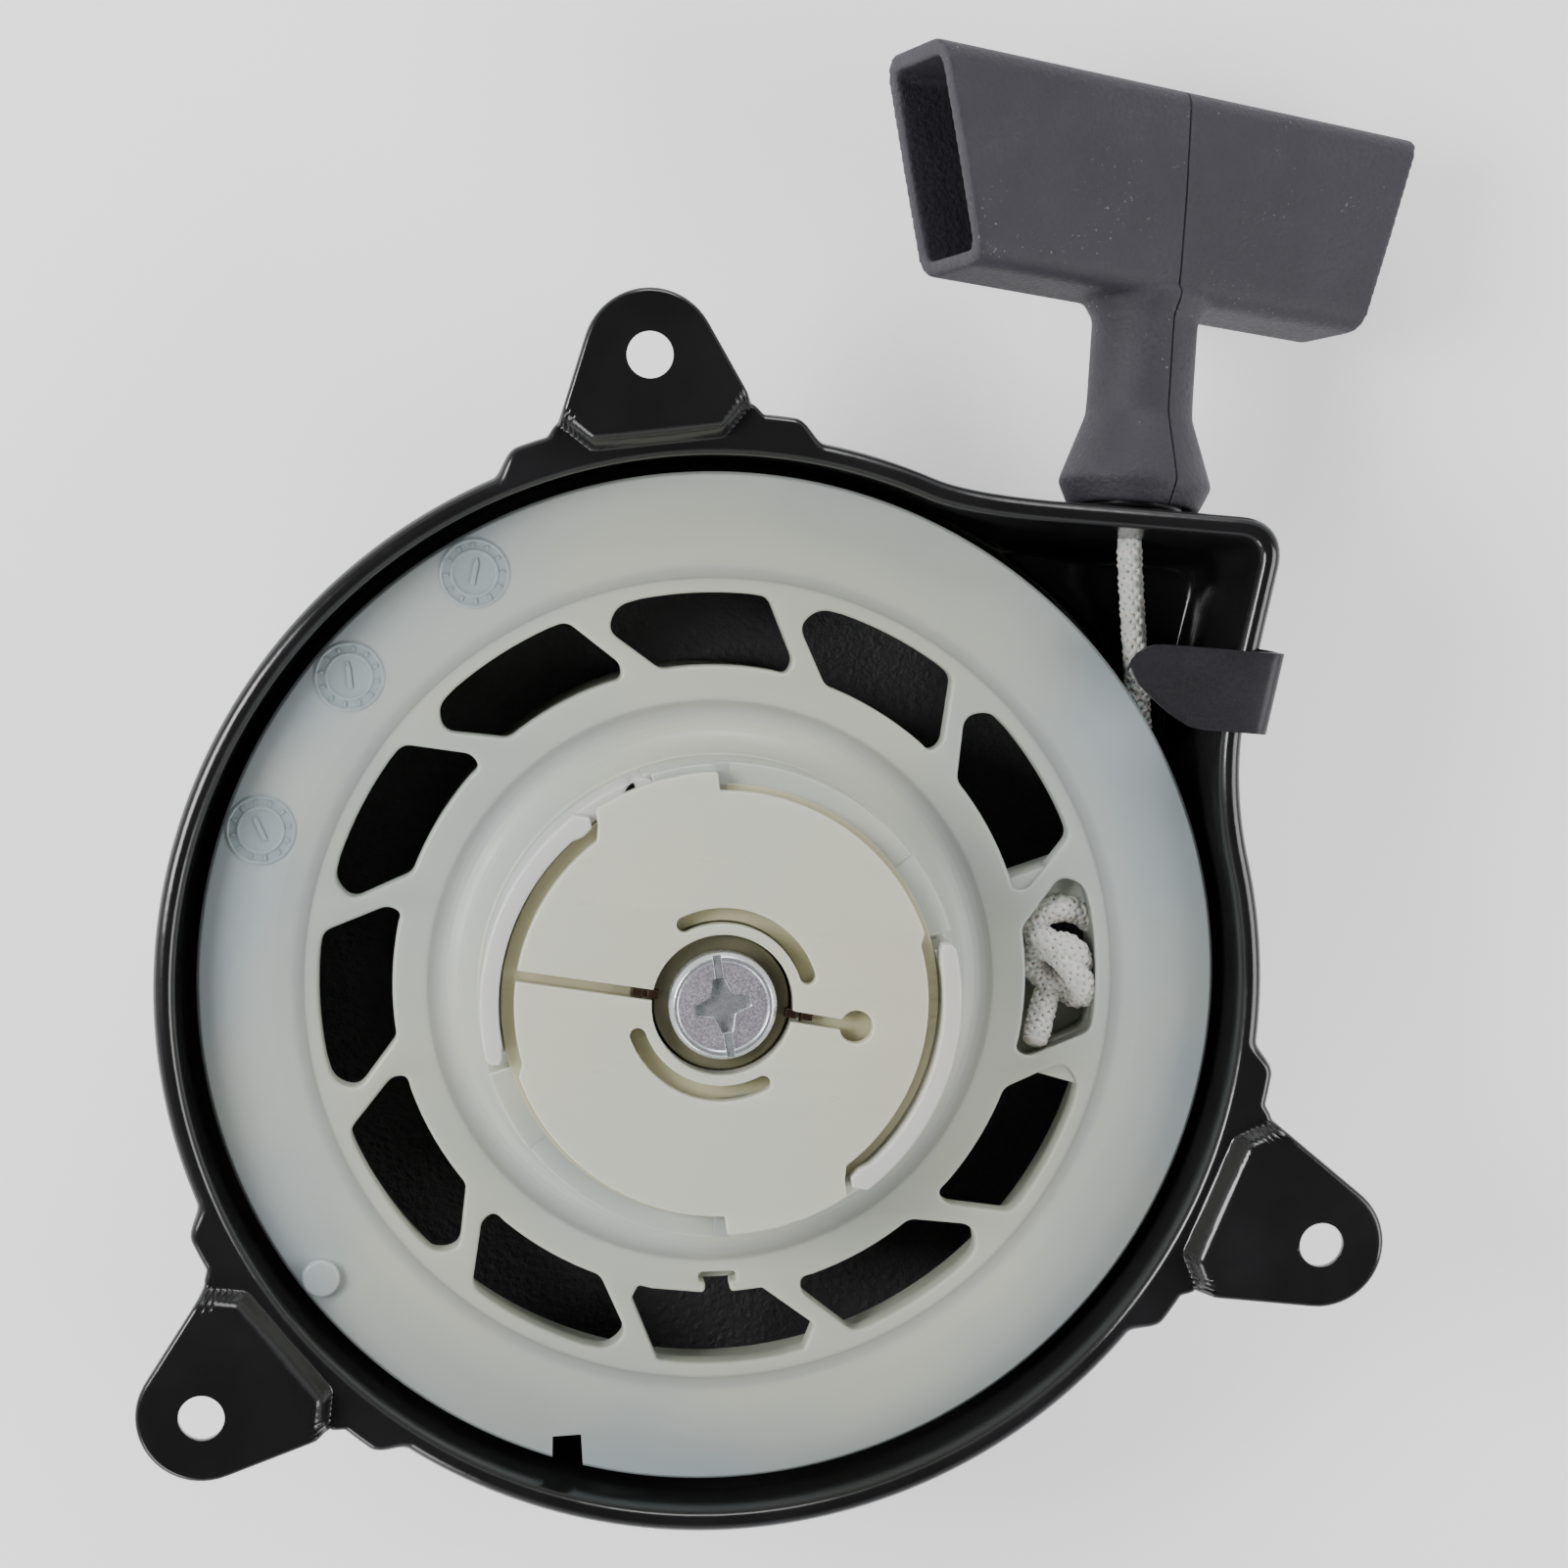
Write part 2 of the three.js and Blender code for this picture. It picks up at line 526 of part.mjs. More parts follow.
/** The stopper knot and cut end in the pulley's pocket. */
function pulleyKnot() {
  const lump = new THREE.SphereGeometry(1, 14, 10).scale(...KNOT_SIZE.toArray());
  lump.translate(...KNOT_PLACE.toArray());
  return solid(lump).add(cord(new THREE.LineCurve3(KNOT_TAIL_FROM, KNOT_TAIL_TO), ROPE / 2, 2));
}

// ---- grip -----------------------------------------------------------------------------------
/** The bar's side view as a shape in [along, up] from the stem's top, shrunk by an inset. */
function barOutline(inset) {
  const low = STEM_LENGTH + inset;
  const high = STEM_LENGTH + BAR_HEIGHT - inset;
  const slope = (BAR_LENGTH - BAR_FOOT_LENGTH) / 2 / BAR_HEIGHT;
  const foot = BAR_FOOT_LENGTH / 2 + slope * inset;
  const head = BAR_LENGTH / 2 - slope * inset;
  return { low, high, foot, head };
}

/** A bar-shaped solid between two cross planes, its long edges rounded. */
function barSolid(inset, from, to) {
  const { low, high } = barOutline(inset);
  const depth = BAR_DEPTH / 2 - inset;
  const edge = Math.max(BAR_EDGE - inset * 0.5, 0.8);
  const shape = new THREE.Shape();
  shape.moveTo(-depth + edge, low);
  shape.lineTo(depth - edge, low);
  shape.absarc(depth - edge, low + edge, edge, -Math.PI / 2, 0, false);
  shape.absarc(depth - edge, high - edge, edge, 0, Math.PI / 2, false);
  shape.absarc(-depth + edge, high - edge, edge, Math.PI / 2, Math.PI, false);
  shape.absarc(-depth + edge, low + edge, edge, Math.PI, 1.5 * Math.PI, false);
  const options = { depth: to - from, bevelEnabled: false, curveSegments: 4 };
  const geometry = new THREE.ExtrudeGeometry(shape, options);
  geometry.translate(0, 0, from);
  const stand = new THREE.Matrix4().makeBasis(
    new THREE.Vector3(0, 1, 0),
    new THREE.Vector3(0, 0, 1),
    new THREE.Vector3(1, 0, 0),
  );
  return solid(geometry.applyMatrix4(stand));
}

/** The slanted ends of the bar as one thick slab to keep. */
function barEnds() {
  const { low, high, foot, head } = barOutline(0);
  const shape = polygon([[-foot, low], [foot, low], [head, high], [-head, high]]);
  const geometry = new THREE.ExtrudeGeometry(shape, { depth: 2 * BAR_DEPTH, bevelEnabled: false });
  return solid(geometry.translate(0, 0, -BAR_DEPTH).rotateX(Math.PI / 2));
}

/** The hollow grip: bar open at both ends, waisted stem, flared hollow foot. */
function grip() {
  const stem = turned([
    [0, 0], [FOOT_RADIUS, 0], [FOOT_RADIUS, FOOT_BAND], [STEM_RADIUS, FOOT_CONE],
    [STEM_RADIUS, STEM_LENGTH - STEM_FLARE_RUN], [STEM_RADIUS + STEM_FLARE, STEM_LENGTH + STEM_FLARE_RUN],
    [0, STEM_LENGTH + STEM_FLARE_RUN],
  ], 32);
  const hollowFoot = turned([
    [0, -1], [FOOT_HOLLOW_RADIUS, -1], [FOOT_HOLLOW_RADIUS, FOOT_BAND],
    [FOOT_HOLLOW_TOP_RADIUS, FOOT_HOLLOW_DEPTH], [0, FOOT_HOLLOW_DEPTH],
  ], 32);
  const reach = BAR_LENGTH / 2 + 1;
  const bar = barSolid(0, -reach, reach).intersect(barEnds());
  const hollows = barSolid(BAR_WALL, BAR_CORE, reach + 1).add(barSolid(BAR_WALL, -reach - 1, -BAR_CORE));
  const ropeHole = ring(0, ROPE / 2 + 0.4, -1, KNOT_ROOM_LOW + 1, 16);
  const roomHalf = BAR_DEPTH / 2 - BAR_WALL - KNOT_ROOM_SIDE;
  const room = block(
    new THREE.Vector3(-BAR_CORE - 1, -roomHalf, KNOT_ROOM_LOW),
    new THREE.Vector3(BAR_CORE - BAR_WALL, roomHalf, KNOT_ROOM_HIGH),
  );
  const body = bar.add(stem).subtract(hollows).subtract(hollowFoot).subtract(ropeHole);
  return moved(body.subtract(room), handleFrame());
}

/** The rope inside the grip, from the guide's mouth up to its knot. */
function ropeLead() {
  return cord(new THREE.LineCurve3(onStem(-1 + GAP), onStem(KNOT_ROOM_LOW + WASHER + 2 * GAP)), ROPE / 2, 3);
}

/** The washer that the grip's knot pulls against. */
function gripWasher() {
  const low = KNOT_ROOM_LOW + GAP;
  return moved(ring(ROPE / 2 + GAP, WASHER_RADIUS, low, low + WASHER, SMALL_ROUND), handleFrame());
}

/** The knot at the grip's end of the rope. */
function gripKnot() {
  const low = KNOT_ROOM_LOW + WASHER + 3 * GAP;
  const lump = new THREE.SphereGeometry(1, 14, 10).scale(...GRIP_KNOT_SIZE.toArray());
  return moved(solid(lump.translate(0, 0, low + GRIP_KNOT_SIZE.z)), handleFrame());
}

// ---- rope guard tab -------------------------------------------------------------------------
/** The bent steel tab that reaches over the rim and keeps the rope in its groove. */
function guardTab() {
  const topZ = RIM_Z + GAP + SHEET;
  const wallFace = -(LIP - SHEET) + GAP;
  const turnZ = RIM_Z - TAB_DROP;
  const lower = SHEET - GAP; // the outer side's bend lies this much lower
  const profile = polygon([
    [-TAB_REACH, topZ - SHEET], [TAB_OUT - SHEET, topZ - SHEET], [TAB_OUT - SHEET, turnZ],
    [wallFace, turnZ - TAB_STEP], [wallFace, TAB_FOOT_Z], [wallFace + SHEET, TAB_FOOT_Z],
    [wallFace + SHEET, turnZ - TAB_STEP - SHEET], [TAB_OUT, turnZ - lower], [TAB_OUT, topZ],
    [-TAB_REACH, topZ],
  ]);
  const geometry = new THREE.ExtrudeGeometry(profile, { depth: TAB_WIDTH, bevelEnabled: false });
  const outward = new THREE.Vector3(SIDE_NORMAL.x, SIDE_NORMAL.y, 0);
  const along = new THREE.Vector3(SIDE_NORMAL.y, -SIDE_NORMAL.x, 0);
  const up = new THREE.Vector3(0, 0, 1);
  const corner = BOX_CORNER.clone().addScaledVector(at(1, BOX_SIDE_SLOPE), TAB_PLACE);
  const place = new THREE.Matrix4().makeBasis(outward, up, along).setPosition(corner.x, corner.y, 0);
  const square = solid(geometry.applyMatrix4(place)).intersect(prism(tabTip(), 0, 2 * RIM_Z, 8));
  return moved(square, tabLean());
}

/** Leans the tab in plan, so that it runs along the box's outer edge and still ends along its side. */
function tabLean() {
  const lean = Math.tan(rad(BOX_TOP_SLOPE - BOX_SIDE_SLOPE + 90));
  const along = at(lean, BOX_SIDE_SLOPE);
  const normal = SIDE_NORMAL;
  const from = normal.x * BOX_CORNER.x + normal.y * BOX_CORNER.y;
  return new THREE.Matrix4().set(
    1 + along.x * normal.x, along.x * normal.y, 0, -along.x * from,
    along.y * normal.x, 1 + along.y * normal.y, 0, -along.y * from,
    0, 0, 1, 0,
    0, 0, 0, 1,
  );
}

/** Everything outside the tab's rounded tip and swept near edge, in plan. */
function tabTip() {
  const far = RIM_RADIUS + 2 * TAB_WIDTH;
  const [start, ...curves] = TAB_TIP;
  const shape = new THREE.Shape();
  shape.moveTo(far, 0);
  shape.lineTo(far, far);
  shape.lineTo(...start);
  for (let i = 0; i < curves.length; i += 2) {
    shape.quadraticCurveTo(...curves[i], ...curves[i + 1]);
  }
  shape.closePath();
  return shape;
}

// ---- pulley ---------------------------------------------------------------------------------
/** One window's outline, its middle on +X; the webs between windows slant one way. */
function windowOutline() {
  const shape = new THREE.Shape();
  const innerStart = at(WINDOW_INNER, WINDOW_LEAD);
  const innerBulge = at(WINDOW_INNER, WINDOW_LEAD_BULGE);
  const lead = at(WINDOW_LEAD_RADIUS, WINDOW_LEAD_ANGLE);
  const outerEnd = at(WINDOW_OUTER, WINDOW_OUTER_FROM);
  const bulge = at(WINDOW_OUTER, WINDOW_SHOULDER_BULGE);
  const shoulder = at(WINDOW_SHOULDER_RADIUS, WINDOW_SHOULDER_ANGLE);
  const trail = at(WINDOW_INNER, WINDOW_TRAIL);
  shape.moveTo(innerStart.x, innerStart.y);
  shape.quadraticCurveTo(innerBulge.x, innerBulge.y, lead.x, lead.y);
  shape.lineTo(outerEnd.x, outerEnd.y);
  shape.absarc(0, 0, WINDOW_OUTER, rad(WINDOW_OUTER_FROM), rad(WINDOW_OUTER_TO), false);
  shape.quadraticCurveTo(bulge.x, bulge.y, shoulder.x, shoulder.y);
  shape.lineTo(trail.x, trail.y);
  shape.absarc(0, 0, WINDOW_INNER, rad(WINDOW_TRAIL), rad(WINDOW_LEAD), true);
  shape.closePath();
  return shape;
}

/** A strip across the keyed window's inner side. */
function keyStrip(inner, outer, width) {
  const half = width / 2;
  const strip = polygon([[inner, -half], [outer, -half], [outer, half], [inner, half]]);
  return prism(strip, KEY_FLOOR_Z, FLANGE_Z + 1);
}

/** The pulley's windows, each cut down to its own depth. */
function windows() {
  const cuts = [];
  for (let i = 0; i < WINDOW_COUNT; i += 1) {
    const depth = i === KNOT_WINDOW ? KNOT_WINDOW_DEPTH : WINDOW_DEPTH;
    const cut = prism(windowOutline(), FLANGE_Z - depth, FLANGE_Z + 1, 5);
    cuts.push(turnAbout(cut, WINDOW_START - i * WINDOW_PITCH));
  }
  const [headInner, neckInner, headOuter] = KEY_RADII;
  const slot = keyStrip(neckInner, WINDOW_INNER + 1, KEY_NECK).add(keyStrip(headInner, headOuter, KEY_HEAD));
  cuts.push(turnAbout(slot, WINDOW_START - KEYED_WINDOW * WINDOW_PITCH));
  return joined(cuts);
}

/** The turned body of the pulley: spring drum, web, rope groove, flanges and hub. */
function pulleyBlank() {
  const top = FLANGE_Z;
  const webTop = top - WEB_DROP;
  const grooveTop = top - FLANGE;
  const grooveLow = grooveTop - GROOVE_WIDTH;
  const ringIn = GROOVE_RADIUS - GROOVE_WALL;
  const chamberRadius = DRUM_RADIUS - DRUM_WALL;
  const bushRadius = COLLAR_RADIUS + COLLAR_WALL;
  const coreTop = COLLAR_Z - 3;
  const fillet = HUB_FILLET.map(([out, up]) => [HUB_RADIUS + out, webTop + up]);
  return turned([
    [BORE_RADIUS, CHAMBER_TOP_Z], [bushRadius, CHAMBER_TOP_Z], [bushRadius, coreTop],
    [CORE_RADIUS, coreTop], [CORE_RADIUS, CHAMBER_TOP_Z], [chamberRadius, CHAMBER_TOP_Z],
    [chamberRadius, PULLEY_FOOT_Z], [DRUM_RADIUS, PULLEY_FOOT_Z], [DRUM_RADIUS, webTop - WEB],
    [ringIn, webTop - WEB], [ringIn, grooveLow - FLANGE], [LOWER_FLANGE_RADIUS, grooveLow - FLANGE],
    [LOWER_FLANGE_RADIUS, grooveLow], [GROOVE_RADIUS, grooveLow], [GROOVE_RADIUS, grooveTop],
    [PULLEY_RADIUS, grooveTop], [PULLEY_RADIUS, top - FLANGE_EDGE], [ringIn + 0.6, top],
    [ringIn - 0.4, webTop],
    ...fillet, [HUB_RADIUS, HUB_TOP_Z], [COLLAR_RADIUS + GAP, HUB_TOP_Z], [COLLAR_RADIUS + GAP, COLLAR_Z],
    [BORE_RADIUS, COLLAR_Z], [BORE_RADIUS, CHAMBER_TOP_Z],
  ]);
}

/** Room in the hub for one pawl, its pin and its swing. */
function pawlPocket() {
  const pivot = at(PAWL_PIVOT_RADIUS, PAWL_PIVOT_ANGLE);
  const from = PAWL_PIVOT_ANGLE - PAWL_ROOM_ANGLE;
  const side = sector(PAWL_INNER - PAWL_ROOM, PAWL_ROOM_OUTER, from, PAWL_TIP + PAWL_ROOM_ANGLE);
  const eye = pin(pivot, PAWL_EYE_ROOM_RADIUS, PAWL_FLOOR_Z, HUB_TOP_Z + 1, 14);
  const pinHole = pin(pivot, PAWL_PIN_RADIUS + GAP, PAWL_FLOOR_Z - PAWL_PIN - 2 * GAP, HUB_TOP_Z, 12);
  return prism(side, PAWL_FLOOR_Z, HUB_TOP_Z + 1, 5).add(eye).add(pinHole);
}

/** The single nylon moulding that carries the rope, the spring and the pawls. */
function pulley() {
  const pocketAngle = WINDOW_START - KNOT_WINDOW * WINDOW_PITCH;
  const walls = sector(DRUM_RADIUS - 1, GROOVE_RADIUS - 1, -KNOT_WALL_ANGLE, KNOT_WALL_ANGLE);
  const pocket = prism(walls, FLANGE_Z - KNOT_WALL_DEPTH, FLANGE_Z - 1, 4);
  const ropeHole = new THREE.CylinderGeometry(ROPE / 2 + GAP, ROPE / 2 + GAP, 8, 14).rotateZ(Math.PI / 2);
  const holeAngle = pocketAngle + ROPE_HOLE_ANGLE - 1;
  const hole = turnAbout(solid(ropeHole.translate(GROOVE_RADIUS - 1, 0, ROPE_Z)), holeAngle);
  const pockets = pawlPocket().add(turnAbout(pawlPocket(), 180));
  const notch = polygon([
    [NOTCH_INNER, -NOTCH_WIDTH / 2], [PULLEY_RADIUS + 2, -NOTCH_MOUTH / 2],
    [PULLEY_RADIUS + 2, NOTCH_MOUTH / 2], [NOTCH_INNER, NOTCH_WIDTH / 2],
  ]);
  return pulleyBlank()
    .add(turnAbout(pocket, pocketAngle))
    .subtract(windows())
    .subtract(hole)
    .subtract(pockets)
    .subtract(turnAbout(prism(notch, FLANGE_Z - FLANGE - 1, FLANGE_Z + 1), NOTCH_ANGLE))
    .add(pin(at(BOSS_PLACE_RADIUS, BOSS_PLACE_ANGLE), BOSS_RADIUS, FLANGE_Z - 1, FLANGE_Z + BOSS_HEIGHT));
}

// ---- friction plate, its spring and the pawls -----------------------------------------------
/** The split friction plate with its two lobes and gripping collar. */
function frictionPlate() {
  const disc = ring(0, PLATE_RADIUS, PLATE_Z, PLATE_TOP_Z);
  const over = PLATE_TOP_Z + 1;
  const lobe = sector(PLATE_RADIUS - LOBE_LAP, LOBE_RADIUS, LOBE_START, LOBE_END);
  const lobes = prism(lobe, PLATE_Z, PLATE_TOP_Z, 3);
  const collar = ring(0, COLLAR_RADIUS - GAP, COLLAR_Z + 2 * GAP, PLATE_TOP_Z, 32);
  const hole = ring(0, PLATE_HOLE_RADIUS, COLLAR_Z, over, 32);
  const slot = sector(ARC_SLOT_INNER, ARC_SLOT_OUTER, -ARC_SLOT_HALF_ANGLE, ARC_SLOT_HALF_ANGLE);
  const arc = prism(slot, PLATE_Z - 1, over, 5);
  const inside = new THREE.Vector3(PLATE_HOLE_RADIUS - 1, -SLIT / 2, COLLAR_Z);
  const slit = block(inside, new THREE.Vector3(LOBE_RADIUS + 1, SLIT / 2, over));
  const shortSlit = block(inside, new THREE.Vector3(KEYHOLE_PLACE_RADIUS, SLIT / 2, over));
  const keyhole = pin(new THREE.Vector2(KEYHOLE_PLACE_RADIUS, 0), KEYHOLE_RADIUS, PLATE_Z - 1, over, 14);
  return disc
    .add(lobes)
    .add(turnAbout(lobes, 180))
    .add(collar)
    .subtract(hole)
    .subtract(turnAbout(arc, ARC_SLOT_ANGLE))
    .subtract(turnAbout(arc, ARC_SLOT_ANGLE + 180))
    .subtract(turnAbout(slit, SLIT_ANGLE))
    .subtract(turnAbout(shortSlit.add(keyhole), SLIT_ANGLE - 180));
}

/** The blued spring clip inside the collar, with a tang in each slit. */
function frictionSpring() {
  const low = COLLAR_Z + 1;
  const ends = [CLIP_OPEN_ANGLE, 360 - CLIP_OPEN_ANGLE];
  const band = prism(sector(BORE_RADIUS - 0.5, PLATE_HOLE_RADIUS - 0.25, ...ends), low, low + CLIP_BAND, 10);
  const tang = block(
    new THREE.Vector3(JOURNAL_RADIUS, -CLIP_STRIP / 2, low),
    new THREE.Vector3(COLLAR_RADIUS - CLIP_TANG_DROP, CLIP_STRIP / 2, PLATE_TOP_Z - CLIP_TANG_DROP),
  );
  const tangs = turnAbout(tang, SLIT_ANGLE).add(turnAbout(tang, SLIT_ANGLE - 180));
  return turnAbout(band, SLIT_ANGLE - 90).add(tangs);
}

/** One curved pawl with its pivot eye and pin, in the place of the first. */
function pawl() {
  const low = PAWL_FLOOR_Z + GAP;
  const high = HUB_TOP_Z - GAP;
  const pivot = at(PAWL_PIVOT_RADIUS, PAWL_PIVOT_ANGLE);
  const blade = prism(sector(PAWL_INNER, PAWL_OUTER, PAWL_PIVOT_ANGLE, PAWL_TIP), low, high, 5);
  const crown = prism(sector(PAWL_INNER, PAWL_OUTER, PAWL_TOP_START, PAWL_TIP), high - 1, PAWL_TOP_Z, 5);
  const reach = PAWL_OUTER - PAWL_PIVOT_RADIUS;
  const eye = pin(pivot, reach, low, high, 14);
  return blade.add(crown).add(eye).add(pin(pivot, PAWL_PIN_RADIUS, low - PAWL_PIN, low + 1, 12));
}

// ---- middle ---------------------------------------------------------------------------------
/** The fixed post that the pulley turns on, with the spring's slot and the screw's hole. */
function centrePost() {
  const foot = SHEET + GAP;
  const footTop = foot + SHEET;
  const neck = POST_NECK_RADIUS;
  const body = turned([
    [0, foot], [POST_FOOT_RADIUS, foot], [POST_FOOT_RADIUS, footTop], [JOURNAL_RADIUS, footTop],
    [JOURNAL_RADIUS, COLLAR_Z], [neck, COLLAR_Z + GAP], [neck, POST_TOP_Z], [0, POST_TOP_Z],
  ], 32);
  const hole = ring(0, SCREW_RADIUS + GAP, POST_TOP_Z - SCREW_LENGTH - 2, POST_TOP_Z + 1, SMALL_ROUND);
  const slot = block(
    new THREE.Vector3(SCREW_RADIUS + 1, -POST_SLOT / 2, PULLEY_FOOT_Z),
    new THREE.Vector3(POST_FOOT_RADIUS, POST_SLOT / 2, SPRING_HIGH_Z + GAP),
  );
  return body.subtract(hole).subtract(slot);
}

/** The cross-recessed retaining screw. */
function retainingScrew() {
  const under = SCREW_TOP_Z - SCREW_HEAD;
  const end = POST_TOP_Z - SCREW_LENGTH;
  const body = turned([
    [0, end], [SCREW_RADIUS - 0.6, end], [SCREW_RADIUS, end + 1], [SCREW_RADIUS, under],
    [SCREW_HEAD_RADIUS, under], [SCREW_HEAD_RADIUS, SCREW_TOP_Z - 2],
    [SCREW_HEAD_RADIUS - 0.8, SCREW_TOP_Z - 0.5], [SCREW_HEAD_RADIUS - 2.4, SCREW_TOP_Z], [0, SCREW_TOP_Z],
  ], 24);
  const bar = new THREE.BoxGeometry(RECESS_LENGTH, RECESS_WIDTH, 2 * RECESS_DEPTH);
  bar.translate(0, 0, SCREW_TOP_Z);
  const cross = solid(bar).add(turnAbout(solid(bar.clone()), 90));
  return body.subtract(turnAbout(cross, RECESS_ANGLE));
}

/** The flat spiral spring, wound about the post. */
function recoilSpring() {
  const steps = SPRING_TURNS * 16;
  const rim = [];
  const back = [];
  for (let i = 0; i <= steps; i += 1) {
    const share = i / steps;
    const degrees = 360 * SPRING_TURNS * share;
    const radius = SPRING_INNER + (SPRING_OUTER - SPRING_INNER) * share;
    rim.push(at(radius + SPRING_STRIP / 2, degrees));
    back.unshift(at(radius - SPRING_STRIP / 2, degrees));
  }
  return prism(new THREE.Shape([...rim, ...back]), SPRING_LOW_Z, SPRING_HIGH_Z);
}

/** The washer under the screw's head. */
function retainingWasher() {
  const high = SCREW_TOP_Z - SCREW_HEAD - GAP;
  return ring(SCREW_RADIUS + 0.4, POST_NECK_RADIUS + 0.5, POST_TOP_Z + GAP, high, 32);
}

/** The washer between the post's foot and the pulley. */
function thrustWasher() {
  const low = SHEET + GAP + SHEET + GAP;
  return ring(BORE_RADIUS, THRUST_WASHER_RADIUS, low, low + 1, 32);
}

/** The thin cover that keeps the spring in its chamber. */
function springCover() {
  const top = PULLEY_FOOT_Z - GAP;
  return ring(COVER_INNER, DRUM_RADIUS - 0.4, top - COVER, top, 40);
}

// ---- assembly -------------------------------------------------------------------------------
const starter = new THREE.Group();
starter.add(node('housing', housing(), GLOSS_BLACK));
starter.add(node('rope_guard_tab', guardTab(), DARK_STEEL));
starter.add(node('rope_guide', ropeGuide(), BLACK_NYLON));
starter.add(node('centre_post', centrePost(), ZINC));
starter.add(node('retaining_washer', retainingWasher(), ZINC));
starter.add(node('retaining_screw', retainingScrew(), ZINC));
starter.add(node('thrust_washer', thrustWasher(), ZINC));
starter.add(node('recoil_spring', recoilSpring(), BLUE_STEEL));
starter.add(node('spring_cover', springCover(), ZINC));
starter.add(node('pulley', pulley(), NYLON));
starter.add(node('rope_coil', ropeCoil(), WHITE_ROPE));
starter.add(node('rope_run', cord(ropeRunPath(), ROPE / 2, 22), WHITE_ROPE));
starter.add(node('pulley_knot', pulleyKnot(), WHITE_ROPE));
starter.add(node('friction_plate', frictionPlate(), CREAM_NYLON));
starter.add(node('friction_spring', frictionSpring(), BLUE_STEEL));
starter.add(node('pawl_a', pawl(), PAWL_NYLON));
starter.add(node('pawl_b', turnAbout(pawl(), 180), PAWL_NYLON));
starter.add(node('grip', grip(), GRIP_RUBBER));
starter.add(node('rope_lead', ropeLead(), WHITE_ROPE));
starter.add(node('grip_washer', gripWasher(), ZINC));
starter.add(node('grip_knot', gripKnot(), WHITE_ROPE));

export default starter;
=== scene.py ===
"""Looks of a recoil starter: pressed cup, rope pulley with its pawls, and a T-shaped pull grip."""
import json
import logging
import math
from abc import ABC, abstractmethod
from dataclasses import dataclass, field
from enum import Enum
from typing import Iterable, Optional, Sequence

import bmesh
import bpy
from mathutils import Matrix, Vector


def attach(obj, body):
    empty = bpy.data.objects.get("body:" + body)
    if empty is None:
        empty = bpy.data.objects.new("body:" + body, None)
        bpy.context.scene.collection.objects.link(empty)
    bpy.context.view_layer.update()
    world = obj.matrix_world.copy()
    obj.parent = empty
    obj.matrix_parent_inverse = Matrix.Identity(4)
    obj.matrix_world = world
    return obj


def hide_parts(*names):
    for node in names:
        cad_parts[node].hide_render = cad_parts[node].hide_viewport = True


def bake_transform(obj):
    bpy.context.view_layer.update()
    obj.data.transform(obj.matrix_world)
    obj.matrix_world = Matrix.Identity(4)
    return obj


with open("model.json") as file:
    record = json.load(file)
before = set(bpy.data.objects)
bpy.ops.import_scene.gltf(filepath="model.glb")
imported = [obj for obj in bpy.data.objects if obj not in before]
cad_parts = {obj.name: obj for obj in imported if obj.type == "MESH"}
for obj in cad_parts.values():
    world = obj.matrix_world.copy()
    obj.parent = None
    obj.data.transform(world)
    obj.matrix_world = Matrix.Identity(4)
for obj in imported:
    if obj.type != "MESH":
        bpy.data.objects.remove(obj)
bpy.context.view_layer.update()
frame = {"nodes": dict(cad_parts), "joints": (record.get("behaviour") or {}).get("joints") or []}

LOG = logging.getLogger("starter")
MM = 0.001
GAP = 0.3

Point2 = tuple[float, float]
Point3 = tuple[float, float, float]


class Body(str, Enum):
    """The rigid bodies of the starter."""

    HOUSING = "housing"
    PULLEY = "pulley"
    HANDLE = "handle"
    PLATE = "friction_plate"
    PAWL_A = "pawl_a"
    PAWL_B = "pawl_b"


# ---- places taken from the frame --------------------------------------------------------------
def joint_axis(name: str) -> Vector:
    """The unit axis of a joint of the frame."""
    return Vector(next(j for j in frame["joints"] if j["name"] == name)["axis"]).normalized()


# ---- plane geometry ---------------------------------------------------------------------------
def polar(radius: float, degrees: float) -> Point2:
    """A point in plan from its radius and its angle."""
    return radius * math.cos(math.radians(degrees)), radius * math.sin(math.radians(degrees))


def arc(centre: Point2, radius: float, start: float, end: float, steps: int) -> list[Point2]:
    """Points along an arc, both ends included.

    Args:
        centre: The arc's centre.
        radius: Its radius.
        start: Its first angle in degrees.
        end: Its last angle in degrees.
        steps: The number of steps between them.

    Returns:
        The points in order.
    """
    points = []
    for i in range(steps + 1):
        dx, dy = polar(radius, start + (end - start) * i / steps)
        points.append((centre[0] + dx, centre[1] + dy))
    return points


def bezier(a: Point2, b: Point2, c: Point2, steps: int) -> list[Point2]:
    """Points along a quadratic curve from a to c that heads for b, without its last point.

    Args:
        a: The first point.
        b: The point that the curve heads for.
        c: The last point.
        steps: The number of points.

    Returns:
        The points in order.
    """
    points = []
    for i in range(steps):
        t = i / steps
        wa, wb, wc = (1 - t) ** 2, 2 * t * (1 - t), t * t
        points.append((wa * a[0] + wb * b[0] + wc * c[0], wa * a[1] + wb * b[1] + wc * c[1]))
    return points


def crossing(p: Vector, d: Vector, q: Vector, e: Vector) -> Vector:
    """Where the line through p along d meets the line through q along e.

    Args:
        p: A place on the first line.
        d: Its direction.
        q: A place on the second line.
        e: Its direction.

    Returns:
        The place where they meet.
    """
    spread = d.x * e.y - d.y * e.x
    t = ((q.x - p.x) * e.y - (q.y - p.y) * e.x) / spread
    return p + d * t


